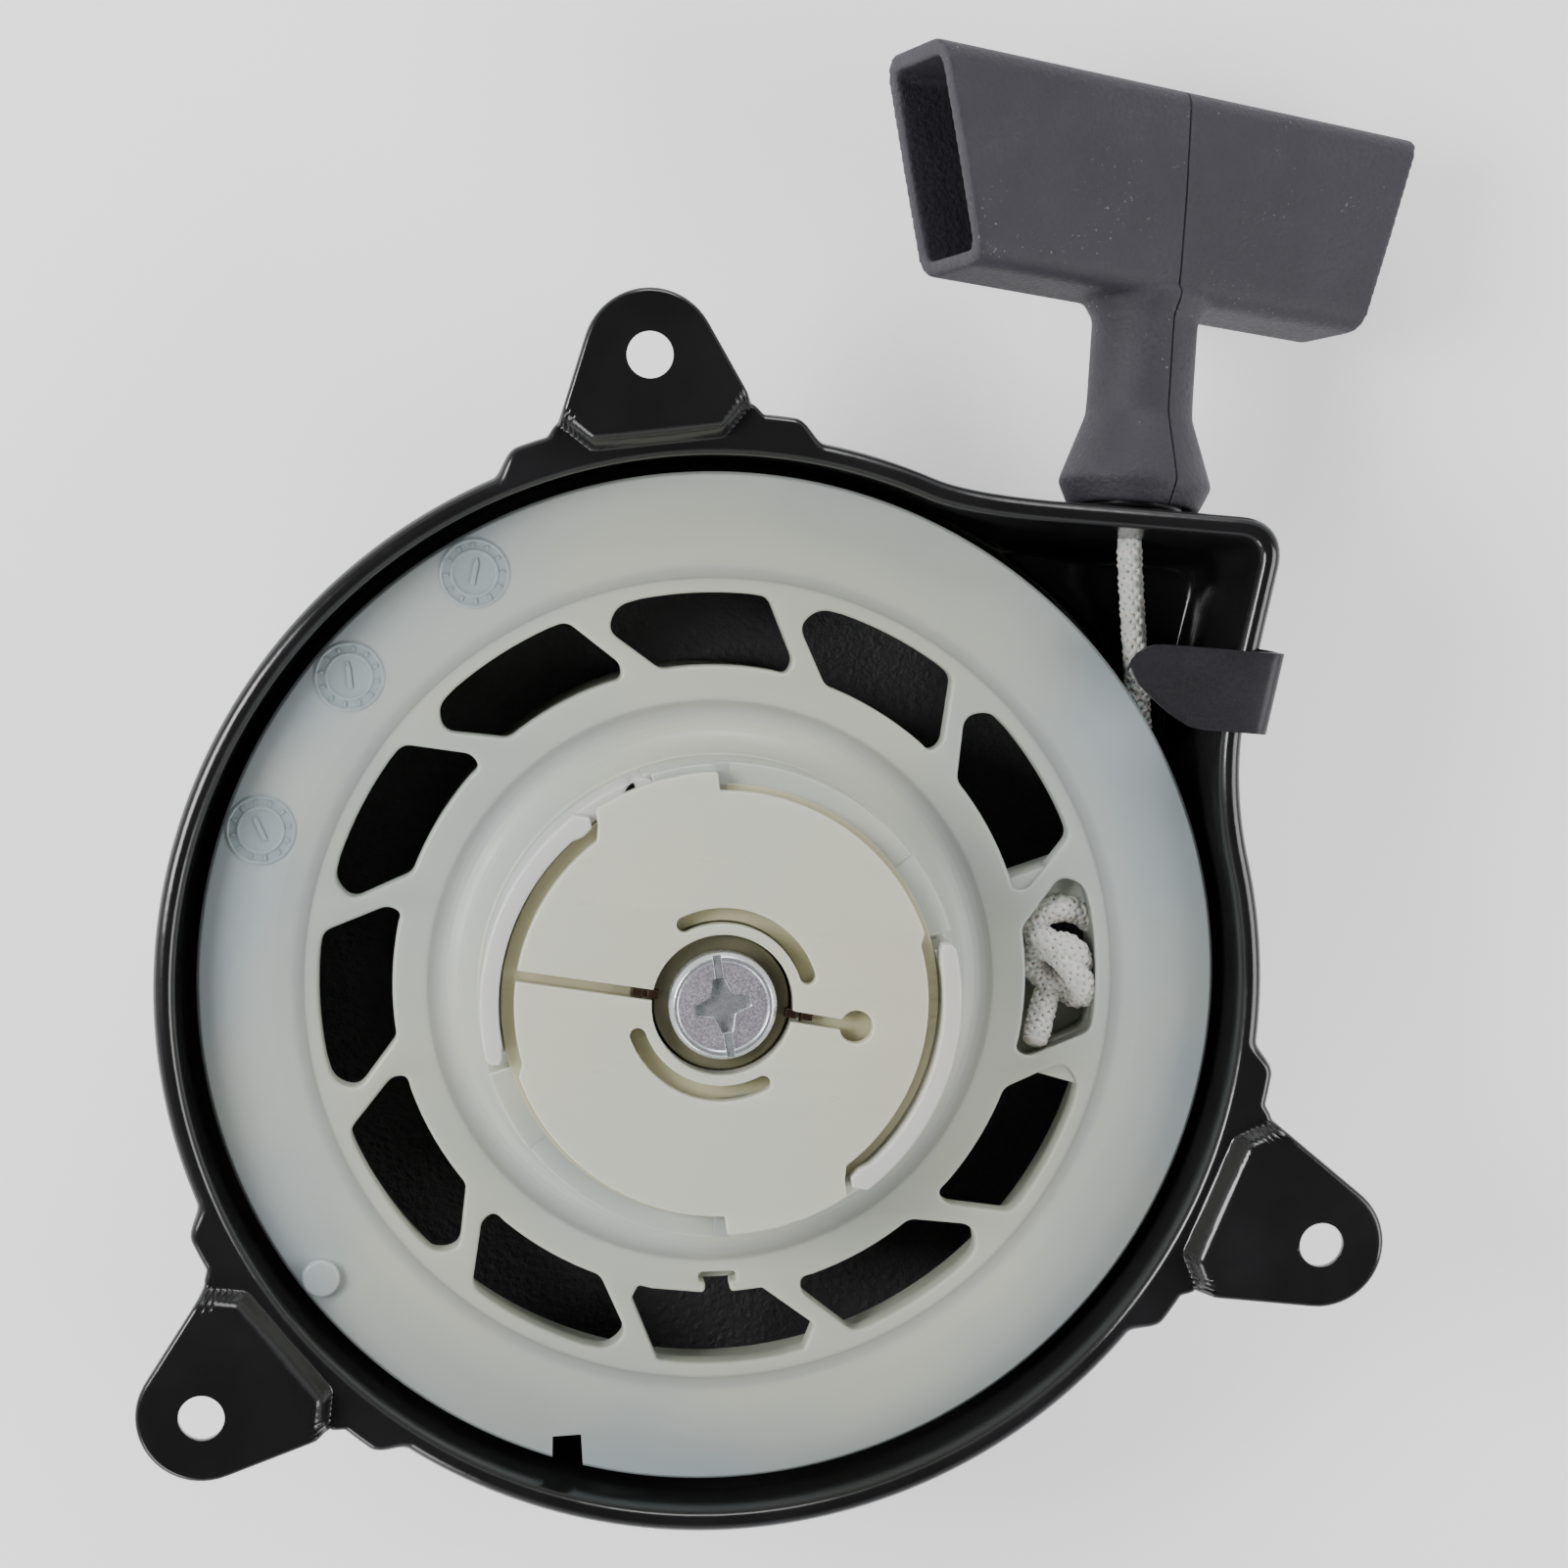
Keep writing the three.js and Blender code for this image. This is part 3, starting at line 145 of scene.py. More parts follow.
def rounded(points: Sequence[Point2], radius: float, steps: int = 4, closed: bool = True) -> list[Point2]:
    """A polygon or a line with its corners rounded.

    Args:
        points: The corners in order.
        radius: The rounding wanted; short edges get less.
        steps: The number of steps in each corner.
        closed: True for a polygon, False for a line whose ends stay.

    Returns:
        The new corners in order.
    """
    count = len(points)
    result: list[Point2] = []
    for i, point in enumerate(points):
        if not closed and i in (0, count - 1):
            result.append(point)
            continue
        here = Vector(point)
        before = Vector(points[i - 1]) - here
        after = Vector(points[(i + 1) % count]) - here
        room = min(before.length, after.length) * 0.49
        if room < 1e-6:
            continue
        opening = before.angle(after)
        if opening > math.radians(176):
            result.append(point)
            continue
        back = min(radius / math.tan(opening / 2), room)
        first, last = here + before.normalized() * back, here + after.normalized() * back
        result.extend(bezier(tuple(first), point, tuple(last), steps))
        result.append(tuple(last))
    return result


def smoothstep(value: float) -> float:
    """An S-shaped step from 0 to 1."""
    t = min(max(value, 0.0), 1.0)
    return t * t * (3 - 2 * t)


# ---- mesh building ----------------------------------------------------------------------------
def new_object(name: str, mesh: bpy.types.Mesh) -> bpy.types.Object:
    """A mesh as a linked object.

    Args:
        name: The object's name.
        mesh: Its mesh.

    Returns:
        The new object.
    """
    made = bpy.data.objects.new(name, mesh)
    bpy.context.scene.collection.objects.link(made)
    return made


def from_faces(
    name: str,
    points: Sequence[Sequence[float]],
    faces: Sequence[Sequence[int]],
) -> bpy.types.Object:
    """An object from points in millimetres and faces, its normals made to point out.

    Args:
        name: The object's name.
        points: The points in millimetres.
        faces: Each face's point numbers.

    Returns:
        The new object.
    """
    mesh = bpy.data.meshes.new(name)
    mesh.from_pydata([(p[0] * MM, p[1] * MM, p[2] * MM) for p in points], [], [list(f) for f in faces])
    shell = bmesh.new()
    shell.from_mesh(mesh)
    bmesh.ops.remove_doubles(shell, verts=shell.verts, dist=0.002 * MM)
    bmesh.ops.recalc_face_normals(shell, faces=shell.faces)
    shell.to_mesh(mesh)
    shell.free()
    return new_object(name, mesh)


def soften(piece: bpy.types.Object, degrees: float = 35) -> bpy.types.Object:
    """Smooth shading, with edges sharper than an angle kept crisp.

    Args:
        piece: The piece.
        degrees: The angle above which an edge stays crisp.

    Returns:
        The piece.
    """
    piece.data.shade_smooth()
    piece.data.set_sharp_from_angle(angle=math.radians(degrees))
    return piece


def apply_modifiers(piece: bpy.types.Object) -> bpy.types.Object:
    """Makes a piece's modifiers part of its mesh.

    Args:
        piece: The piece.

    Returns:
        The piece.
    """
    bpy.context.view_layer.update()
    graph = bpy.context.evaluated_depsgraph_get()
    mesh = bpy.data.meshes.new_from_object(piece.evaluated_get(graph))
    piece.modifiers.clear()
    old = piece.data
    piece.data = mesh
    bpy.data.meshes.remove(old)
    return piece


def round_edges(
    piece: bpy.types.Object,
    width: float,
    segments: int = 2,
    degrees: float = 40,
) -> bpy.types.Object:
    """Rounds the edges that are sharper than an angle, by a width in millimetres.

    Args:
        piece: The piece.
        width: The rounding's width in millimetres.
        segments: The steps in each rounding.
        degrees: The angle above which an edge is rounded.

    Returns:
        The piece.
    """
    bevel = piece.modifiers.new("round", "BEVEL")
    bevel.width = width * MM
    bevel.segments = segments
    bevel.limit_method = "ANGLE"
    bevel.angle_limit = math.radians(degrees)
    bevel.use_clamp_overlap = True
    return apply_modifiers(piece)


def combine(name: str, pieces: Sequence[bpy.types.Object]) -> bpy.types.Object:
    """Several objects' meshes in one object.

    Args:
        name: The object's name.
        pieces: The objects, which are removed.

    Returns:
        The new object, in place of the old ones.
    """
    whole = bmesh.new()
    for piece in pieces:
        piece.data.transform(piece.matrix_world)
        whole.from_mesh(piece.data)
    mesh = bpy.data.meshes.new(name)
    whole.to_mesh(mesh)
    whole.free()
    for piece in pieces:
        bpy.data.objects.remove(piece)
    return new_object(name, mesh)


def boolean(
    piece: bpy.types.Object,
    tools: Sequence[bpy.types.Object],
    kind: str = "DIFFERENCE",
) -> bpy.types.Object:
    """Cuts or joins tools with a piece, and removes the tools.

    Args:
        piece: The piece.
        tools: The tools, which are removed.
        kind: DIFFERENCE to cut or UNION to join.

    Returns:
        The piece.
    """
    for tool in tools:
        step = piece.modifiers.new("cut", "BOOLEAN")
        step.operation = kind
        step.solver = "EXACT"
        step.object = tool
    apply_modifiers(piece)
    for tool in tools:
        bpy.data.objects.remove(tool)
    return piece


def lathe(
    name: str,
    profile: Sequence[Point2],
    segments: int = 96,
    start: float = 0,
    sweep: float = 360,
) -> bpy.types.Object:
    """A profile of (radius, height) points turned about Z.

    Args:
        name: The object's name.
        profile: The points, as a closed loop or a line that starts and ends on the axis.
        segments: The number of steps round.
        start: The first angle in degrees.
        sweep: The angle turned through; 360 closes the ring.

    Returns:
        The new object.
    """
    whole = sweep >= 360
    closed_profile = profile[0][0] > 1e-6 or profile[-1][0] > 1e-6
    columns = segments if whole else segments + 1
    points, faces = [], []
    for i in range(columns):
        for radius, height in profile:
            x, y = polar(max(radius, 0), start + sweep * i / segments)
            points.append((x, y, height))
    count = len(profile)
    rows = count if closed_profile else count - 1
    for i in range(segments):
        a, b = i * count, ((i + 1) % columns) * count
        for j in range(rows):
            k = (j + 1) % count
            faces.append((a + j, b + j, b + k, a + k))
    if not whole:
        faces.append(tuple(range(count)))
        faces.append(tuple(reversed(range((columns - 1) * count, columns * count))))
    return from_faces(name, points, faces)


def plate(
    name: str,
    outer: Sequence[Point2],
    holes: Sequence[Sequence[Point2]],
    low: float,
    high: float,
    edge: float = 0.3,
    steps: int = 2,
) -> bpy.types.Object:
    """A flat plate with holes and rounded edges.

    Args:
        name: The object's name.
        outer: The outline.
        holes: The outlines of its holes.
        low: The height of its underside.
        high: The height of its top.
        edge: The rounding of its edges.
        steps: The smoothness of that rounding.

    Returns:
        The new object.
    """
    curve = bpy.data.curves.new(name, "CURVE")
    curve.dimensions = "2D"
    curve.fill_mode = "BOTH"
    for outline in [outer, *holes]:
        spline = curve.splines.new("POLY")
        spline.points.add(len(outline) - 1)
        for point, (x, y) in zip(spline.points, outline):
            point.co = (x * MM, y * MM, 0, 1)
        spline.use_cyclic_u = True
    curve.extrude = ((high - low) / 2 - edge) * MM
    curve.bevel_depth = edge * MM
    curve.bevel_resolution = steps
    curve.offset = -edge * MM
    holder = bpy.data.objects.new(name, curve)
    bpy.context.scene.collection.objects.link(holder)
    bpy.context.view_layer.update()
    mesh = bpy.data.meshes.new_from_object(holder.evaluated_get(bpy.context.evaluated_depsgraph_get()))
    bpy.data.objects.remove(holder)
    mesh.transform(Matrix.Translation((0, 0, (low + high) / 2 * MM)))
    shell = bmesh.new()
    shell.from_mesh(mesh)
    bmesh.ops.remove_doubles(shell, verts=shell.verts, dist=0.001 * MM)
    bmesh.ops.recalc_face_normals(shell, faces=shell.faces)
    shell.to_mesh(mesh)
    shell.free()
    mesh.materials.clear()
    return soften(new_object(name, mesh))


def sector(inner: float, outer: float, start: float, end: float, steps: int = 24) -> list[Point2]:
    """The outline of a piece of a ring between two angles."""
    return arc((0, 0), outer, start, end, steps) + arc((0, 0), inner, end, start, steps)


def spun(outline: Sequence[Point2], degrees: float) -> list[Point2]:
    """An outline turned about the origin."""
    along, aside = math.cos(math.radians(degrees)), math.sin(math.radians(degrees))
    return [(x * along - y * aside, x * aside + y * along) for x, y in outline]


def turn(piece: bpy.types.Object, degrees: float) -> bpy.types.Object:
    """Turns a piece's mesh about Z."""
    piece.data.transform(Matrix.Rotation(math.radians(degrees), 4, "Z"))
    return piece


def cylinder(centre: Vector, axis: Vector, radius: float, length: float, sides: int = 32) -> bpy.types.Object:
    """A plain round tool for cutting, centred on a point.

    Args:
        centre: Its middle in millimetres.
        axis: The direction of its axis.
        radius: The radius in millimetres.
        length: Its length.
        sides: The steps round it.

    Returns:
        The tool.
    """
    tool = lathe(
        "tool", [(0, -length / 2), (radius, -length / 2), (radius, length / 2), (0, length / 2)], sides
    )
    tool.data.transform(Vector((0, 0, 1)).rotation_difference(axis).to_matrix().to_4x4())
    tool.data.transform(Matrix.Translation(centre * MM))
    return tool


def loft(name: str, loops: Sequence[Sequence[Sequence[float]]]) -> bpy.types.Object:
    """A solid through loops of points, closed at both ends.

    Args:
        name: The object's name.
        loops: The loops in order, with as many points each.

    Returns:
        The new object.
    """
    count = len(loops[0])
    points = [point for loop in loops for point in loop]
    faces = []
    for i in range(len(loops) - 1):
        for k in range(count):
            a, b = i * count + k, i * count + (k + 1) % count
            faces.append((a, b, b + count, a + count))
    faces.append(tuple(reversed(range(count))))
    faces.append(tuple(range((len(loops) - 1) * count, len(loops) * count)))
    return from_faces(name, points, faces)


@dataclass
class Path:
    """A smooth line through points, with a frame carried along it."""

    points: list[Vector]

    def sampled(self, step: float) -> list[Vector]:
        """Points along a Catmull-Rom curve through the points, about a step apart.

        Args:
            step: The spacing wanted, in millimetres.

        Returns:
            The places, both ends included.
        """
        ends = [self.points[0] * 2 - self.points[1], *self.points, self.points[-1] * 2 - self.points[-2]]
        fine: list[Vector] = []
        for a, b, c, d in zip(ends, ends[1:], ends[2:], ends[3:]):
            count = max(int((c - b).length / step * 4), 4)
            for i in range(count):
                t = i / count
                curve = 2 * b + (c - a) * t + (2 * a - 5 * b + 4 * c - d) * t * t
                fine.append(0.5 * (curve + (3 * b - a - 3 * c + d) * t**3))
        fine.append(self.points[-1])
        result, run = [fine[0]], 0.0
        for a, b in zip(fine, fine[1:]):
            run += (b - a).length
            if run >= step:
                result.append(b)
                run = 0.0
        if (result[-1] - fine[-1]).length > step * 0.3:
            result.append(fine[-1])
        return result

    def frames(self, step: float) -> list[tuple[Vector, Vector, Vector]]:
        """For each sample, its place and two directions across the line that don't twist.

        Args:
            step: The spacing wanted, in millimetres.

        Returns:
            Place and two directions for each sample.
        """
        places = self.sampled(step)
        side = (places[1] - places[0]).orthogonal().normalized()
        result = []
        for i, place in enumerate(places):
            ahead = (places[min(i + 1, len(places) - 1)] - places[max(i - 1, 0)]).normalized()
            side = (side - ahead * side.dot(ahead)).normalized()
            result.append((place, side, ahead.cross(side)))
        return result


def tube(name: str, path: Path, radius: float, step: float = 1.0, sides: int = 12) -> bpy.types.Object:
    """A round tube along a path, with closed ends.

    Args:
        name: The object's name.
        path: The line that it follows.
        radius: The radius in millimetres.
        step: The length of each ring of faces.
        sides: The steps round it.

    Returns:
        The new object.
    """
    circle = [polar(radius, 360 * k / sides) for k in range(sides)]
    loops = []
    for place, side, across in path.frames(step):
        loops.append([place + side * dx + across * dy for dx, dy in circle])
    return soften(loft(name, loops), 60)


@dataclass(frozen=True)
class Braid:
    """A braided rope: yarns wound both ways, passing over two and under two."""

    radius: float = 1.75
    carriers: int = 8
    pitch: float = 13.0
    yarn_width: float = 0.55
    yarn_height: float = 0.34
    step: float = 0.4

    def build(self, name: str, path: Path) -> bpy.types.Object:
        """The braid along a path, round a plain core.

        Args:
            name: The object's name.
            path: The line that it follows, in millimetres.

        Returns:
            The new object.
        """
        rows = path.frames(self.step)
        points: list[Vector] = []
        faces: list[tuple[int, ...]] = []
        sides = 6
        for way in (1, -1):
            for carrier in range(self.carriers):
                base = len(points)
                for i, (place, side, across) in enumerate(rows):
                    travelled = i * self.step
                    angle = way * 2 * math.pi * travelled / self.pitch + 2 * math.pi * carrier / self.carriers
                    phase = self.carriers * 2 * math.pi * travelled / self.pitch
                    weave = math.sin(phase + way * math.pi / 2 + carrier * math.pi)
                    lift = self.radius - self.yarn_height * (1 - 0.55 * weave * way)
                    outward = side * math.cos(angle) + across * math.sin(angle)
                    sideways = across * math.cos(angle) - side * math.sin(angle)
                    for k in range(sides):
                        a = 2 * math.pi * k / sides
                        points.append(
                            place
                            + outward * (lift + self.yarn_height * math.sin(a))
                            + sideways * (self.yarn_width * math.cos(a))
                        )
                for i in range(len(rows) - 1):
                    for k in range(sides):
                        a, b = base + i * sides + k, base + i * sides + (k + 1) % sides
                        faces.append((a, b, b + sides, a + sides))
                faces.append(tuple(base + k for k in reversed(range(sides))))
                faces.append(tuple(base + (len(rows) - 1) * sides + k for k in range(sides)))
        yarns = soften(from_faces(name + "_yarns", points, faces), 80)
        core = tube(name + "_core", path, self.radius - self.yarn_height * 1.4, self.step * 2, 12)
        return combine(name, [yarns, core])


# ---- finishes ---------------------------------------------------------------------------------
class Nodes:
    """A small helper that strings shader nodes together."""

    def __init__(self, name: str) -> None:
        """Makes an empty material with its shader.

        Args:
            name: The material's name.
        """
        self.material = bpy.data.materials.new(name)
        self.material.use_nodes = True
        self.tree = self.material.node_tree
        self.shader = self.tree.nodes["Principled BSDF"]
        self.place = self.tree.nodes.new("ShaderNodeTexCoord").outputs["Object"]

    def node(self, kind: str, **values: object) -> bpy.types.Node:
        """A node of a kind, its properties or inputs set; an output given as a value is linked.

        Args:
            kind: The node's type.
            values: Properties or inputs; _0 and _1 are inputs by number.

        Returns:
            The new node.
        """
        made = self.tree.nodes.new(kind)
        for key, value in values.items():
            if hasattr(made, key):
                setattr(made, key, value)
                continue
            numbered = key[0] == "_" and key[1:].isdigit()
            socket = made.inputs[int(key[1:]) if numbered else key.replace("_", " ")]
            if isinstance(value, bpy.types.NodeSocket):
                self.tree.links.new(value, socket)
            else:
                socket.default_value = value
        return made

    def noise(
        self,
        scale: float,
        detail: float = 4,
        roughness: float = 0.55,
        stretch: Optional[Point3] = None,
    ) -> bpy.types.NodeSocket:
        """Noise over the piece; scale is in features a millimetre.

        Args:
            scale: Features a millimetre.
            detail: The number of finer layers.
            roughness: How strong the finer layers are.
            stretch: A scale along each axis.

        Returns:
            The noise, about 0.5 on average.
        """
        place = self.place
        if stretch:
            place = self.node("ShaderNodeVectorMath", operation="MULTIPLY", _0=place, _1=stretch).outputs[0]
        return self.node(
            "ShaderNodeTexNoise", Vector=place, Scale=scale / MM, Detail=detail, Roughness=roughness
        ).outputs[0]

    def cells(self, scale: float, feature: str = "F1") -> bpy.types.NodeSocket:
        """Distance to the nearest of many scattered cell centres."""
        return self.node(
            "ShaderNodeTexVoronoi", feature=feature, Vector=self.place, Scale=scale / MM
        ).outputs["Distance"]

    def ramp(
        self,
        value: bpy.types.NodeSocket,
        low: float,
        high: float,
        to_low: float = 0,
        to_high: float = 1,
    ) -> bpy.types.NodeSocket:
        """Maps a value from one range to another, held at its ends.

        Args:
            value: The value.
            low: The start of its range.
            high: The end of its range.
            to_low: What the start becomes.
            to_high: What the end becomes.

        Returns:
            The mapped value.
        """
        made = self.node("ShaderNodeMapRange", Value=value)
        for socket, number in zip(made.inputs[1:5], (low, high, to_low, to_high)):
            socket.default_value = number
        made.clamp = True
        return made.outputs[0]

    def mix(self, share: object, a: object, b: object) -> bpy.types.NodeSocket:
        """A mix of two colours by a share.

        Args:
            share: How much of the second colour.
            a: The first colour.
            b: The second colour.

        Returns:
            The mixed colour.
        """
        made = self.tree.nodes.new("ShaderNodeMix")
        made.data_type = "RGBA"
        for index, value in ((0, share), (6, a), (7, b)):
            if isinstance(value, bpy.types.NodeSocket):
                self.tree.links.new(value, made.inputs[index])
            else:
                made.inputs[index].default_value = value
        return made.outputs[2]

    def maths(self, operation: str, a: object, b: object = 0.0) -> bpy.types.NodeSocket:
        """One sum on two values."""
        return self.node("ShaderNodeMath", operation=operation, _0=a, _1=b).outputs[0]

    def axis(self, letter: str) -> bpy.types.NodeSocket:
        """One coordinate of the place, in metres."""
        return self.node("ShaderNodeSeparateXYZ", Vector=self.place).outputs[letter]

    def radius(self, centre: Point2 = (0, 0)) -> bpy.types.NodeSocket:
        """Distance in plan from a point given in millimetres, in metres.

        Args:
            centre: The point.

        Returns:
            The distance.
        """
        moved = self.node(
            "ShaderNodeVectorMath", operation="SUBTRACT", _0=self.place,
            _1=(centre[0] * MM, centre[1] * MM, 0)
        )
        flat = self.node("ShaderNodeVectorMath", operation="MULTIPLY", _0=moved.outputs[0], _1=(1, 1, 0))
        return self.node("ShaderNodeVectorMath", operation="LENGTH", _0=flat.outputs[0]).outputs["Value"]

    def bump(
        self,
        height: bpy.types.NodeSocket,
        depth: float,
        before: Optional[bpy.types.NodeSocket] = None,
    ) -> bpy.types.NodeSocket:
        """A bump of a depth in millimetres, on top of another one.

        Args:
            height: The height, 0 to 1.
            depth: The bump's depth.
            before: The normal that it adds to.

        Returns:
            The normal.
        """
        made = self.node("ShaderNodeBump", Height=height, Strength=1.0, Distance=depth * MM)
        if before:
            self.tree.links.new(before, made.inputs["Normal"])
        return made.outputs[0]

    def wire(self, **values: object) -> None:
        """Sets or links the shader's own sockets.

        Args:
            values: A value or an output for each socket.
        """
        for key, value in values.items():
            socket = self.shader.inputs[key.replace("_", " ")]
            if isinstance(value, bpy.types.NodeSocket):
                self.tree.links.new(value, socket)
            else:
                socket.default_value = value


def grey(value: float, tint: Point3 = (1, 1, 1)) -> tuple[float, float, float, float]:
    """A tinted grey."""
    return value * tint[0], value * tint[1], value * tint[2], 1.0


class Finish(ABC):
    """A surface finish that becomes one material, made once; each has a name and a record slot."""

    _made: dict[str, bpy.types.Material] = {}

    @abstractmethod
    def paint(self, nodes: Nodes) -> None:
        """Sets up the material's nodes.

        Args:
            nodes: The material's helper.
        """

    def material(self) -> bpy.types.Material:
        """The finished material.

        Returns:
            The material.
        """
        if self.name not in self._made:
            nodes = Nodes(self.name)
            self.paint(nodes)
            self._made[self.name] = nodes.material
        return self._made[self.name]


@dataclass(frozen=True)
class GlossEnamel(Finish):
    """Black enamel on pressed steel: glossy outside, coarse where it pooled on the floor."""

    floor_radius: float = 66.0
    holes: tuple[Point2, ...] = ()
    hole_radius: float = 3.1
    name: str = "gloss_black_enamel"
    slot: str = "black_enamel"

    def paint(self, nodes: Nodes) -> None:
        """Near-black paint with orange peel, dust, chips round the bolt holes, and the floor inside the cup
        painted lighter grey as painted light.

        Args:
            nodes: The material's helper.
        """
        middle = nodes.ramp(nodes.radius(), (self.floor_radius + 2) * MM, self.floor_radius * MM)
        inside = nodes.maths("MULTIPLY", middle, nodes.ramp(nodes.axis("Z"), 0.8 * MM, 1.1 * MM))
        peel = nodes.noise(0.25, 2)
        wrinkle = nodes.noise(0.9, 3, 0.6)
        dust = nodes.ramp(nodes.noise(2.2, 6, 0.8), 0.62, 0.78)
        chip = None
        for hole in self.holes:
            near = nodes.ramp(nodes.radius(hole), (self.hole_radius + 0.9) * MM, self.hole_radius * MM)
            spot = nodes.ramp(nodes.maths("ADD", near, nodes.noise(0.7, 5, 0.7)), 1.5, 1.6)
            chip = spot if chip is None else nodes.maths("MAXIMUM", chip, spot)
        colour = nodes.mix(
            nodes.ramp(nodes.noise(0.05, 3), 0.35, 0.7), grey(0.0095, (1, 0.98, 0.98)),
            grey(0.015, (1, 0.98, 1.05))
        )
        # Painted light: the cup's floor under the windows is lifted from near-black to grey, standing in for
        # light that hardly reaches it. Its wrinkle and roughness are the real finish.
        colour = nodes.mix(inside, colour, grey(0.08, (1, 1, 1.05)))
        colour = nodes.mix(nodes.maths("MULTIPLY", dust, 0.12), colour, grey(0.12))
        rough = nodes.ramp(nodes.noise(0.12, 4), 0.3, 0.75, 0.13, 0.24)
        rough = nodes.maths("ADD", rough, nodes.maths("MULTIPLY", inside, 0.34))
        if chip is not None:
            colour = nodes.mix(chip, colour, grey(0.34, (1, 0.98, 0.95)))
            rough = nodes.maths("ADD", rough, nodes.maths("MULTIPLY", chip, 0.25))
        normal = nodes.bump(peel, 0.05)
        normal = nodes.bump(nodes.maths("MULTIPLY", wrinkle, inside), 0.5, normal)
        nodes.wire(Base_Color=colour, Roughness=rough, Normal=normal, Specular_IOR_Level=0.6)


@dataclass(frozen=True)
class Nylon(Finish):
    """Moulded nylon that light enters a little, cooler or warmer from place to place."""

    name: str
    slot: str
    cool: Point3
    warm: Point3
    roughness: float = 0.42
    glow: float = 0.35
    depth: float = 1.6
    rim_radius: float = 0.0

    def paint(self, nodes: Nodes) -> None:
        """Clouded colour, faint flow marks, specks and fine scratches.

        Args:
            nodes: The material's helper.
        """
        cloud = nodes.ramp(nodes.noise(0.022, 2), 0.35, 0.68)
        if self.rim_radius:
            edge = nodes.ramp(nodes.radius(), (self.rim_radius - 16) * MM, self.rim_radius * MM, 0.5, -0.45)
            cloud = nodes.ramp(nodes.maths("ADD", cloud, edge), 0, 1)
        colour = nodes.mix(cloud, (*self.cool, 1), (*self.warm, 1))
        speck = nodes.ramp(nodes.cells(0.11), 0.05, 0.025)
        specks = nodes.maths("MULTIPLY", speck, nodes.ramp(nodes.noise(0.4, 2), 0.56, 0.62))
        colour = nodes.mix(nodes.maths("MULTIPLY", specks, 0.45), colour, (0.2, 0.19, 0.16, 1))
        flow = nodes.noise(0.06, 5, 0.6, (1, 3, 1))
        rough = nodes.ramp(flow, 0.3, 0.7, self.roughness - 0.06, self.roughness + 0.08)
        scratch = nodes.noise(0.5, 6, 0.75, (0.25, 2.2, 1))
        normal = nodes.bump(nodes.noise(0.05, 2), 0.12)
        normal = nodes.bump(scratch, 0.012, normal)
        normal = nodes.bump(nodes.noise(3.0, 3), 0.008, normal)
        nodes.wire(
            Base_Color=colour, Roughness=rough, Normal=normal, Subsurface_Weight=self.glow,
            Subsurface_Radius=(1.0, 0.95, 0.75), Subsurface_Scale=self.depth * MM, IOR=1.53,
        )


@dataclass(frozen=True)
class PlatedSteel(Finish):
    """Bright zinc plate; the flat of a screw head is darker, rough and faintly violet."""

    name: str = "bright_zinc"
    slot: str = "zinc"
    tone: Point3 = (0.74, 0.77, 0.81)
    roughness: float = 0.24
    pitted: float = 0.0

    def paint(self, nodes: Nodes) -> None:
        """Fine turning marks, cloudy plate and, where pitted, a grainy dull flat.

        Args:
            nodes: The material's helper.
        """
        cloud = nodes.noise(0.5, 4)
        colour = nodes.mix(nodes.ramp(cloud, 0.35, 0.7), (*self.tone, 1), grey(0.82, (0.97, 0.99, 1.02)))
        rough = nodes.ramp(nodes.noise(1.3, 5, 0.7), 0.3, 0.7, self.roughness - 0.05, self.roughness + 0.12)
        normal = nodes.bump(nodes.noise(2.0, 4), 0.01 + 0.06 * self.pitted)
        if self.pitted:
            grain = nodes.ramp(nodes.noise(3.2, 5, 0.7), 0.4, 0.62)
            flat = (0.27 * self.pitted, 0.24 * self.pitted, 0.28 * self.pitted, 1)
            colour = nodes.mix(nodes.maths("MULTIPLY", grain, 0.7), flat, colour)
            rough = nodes.maths("ADD", rough, 0.18)
        nodes.wire(Base_Color=colour, Roughness=rough, Normal=normal, Metallic=0.78)


@dataclass(frozen=True)
class MouldedGrip(Finish):
    """Dark grained plastic with a few rubbed pale flecks."""

    name: str = "grained_grip"
    slot: str = "grip_plastic"
    tone: Point3 = (0.036, 0.033, 0.043)

    def paint(self, nodes: Nodes) -> None:
        """Spark-eroded grain, cloudy sheen and flecks.

        Args:
            nodes: The material's helper.
        """
        grain = nodes.noise(1.5, 4, 0.65)
        cells = nodes.cells(1.1)
        rub = nodes.ramp(nodes.noise(0.08, 4, 0.6), 0.42, 0.72)
        lighter = tuple(channel * 1.7 for channel in self.tone)
        colour = nodes.mix(
            nodes.maths("MULTIPLY", rub, nodes.ramp(grain, 0.4, 0.7)), (*self.tone, 1), (*lighter, 1)
        )
        fleck = nodes.maths(
            "MULTIPLY", nodes.ramp(nodes.noise(1.6, 3, 0.6), 0.66, 0.72),
            nodes.ramp(nodes.noise(0.1, 3), 0.5, 0.62)
        )
        colour = nodes.mix(nodes.maths("MULTIPLY", fleck, 0.8), colour, grey(0.3))
        rough = nodes.ramp(grain, 0.3, 0.7, 0.5, 0.68)
        normal = nodes.bump(grain, 0.16)
        normal = nodes.bump(cells, 0.05, normal)
        nodes.wire(Base_Color=colour, Roughness=rough, Normal=normal)


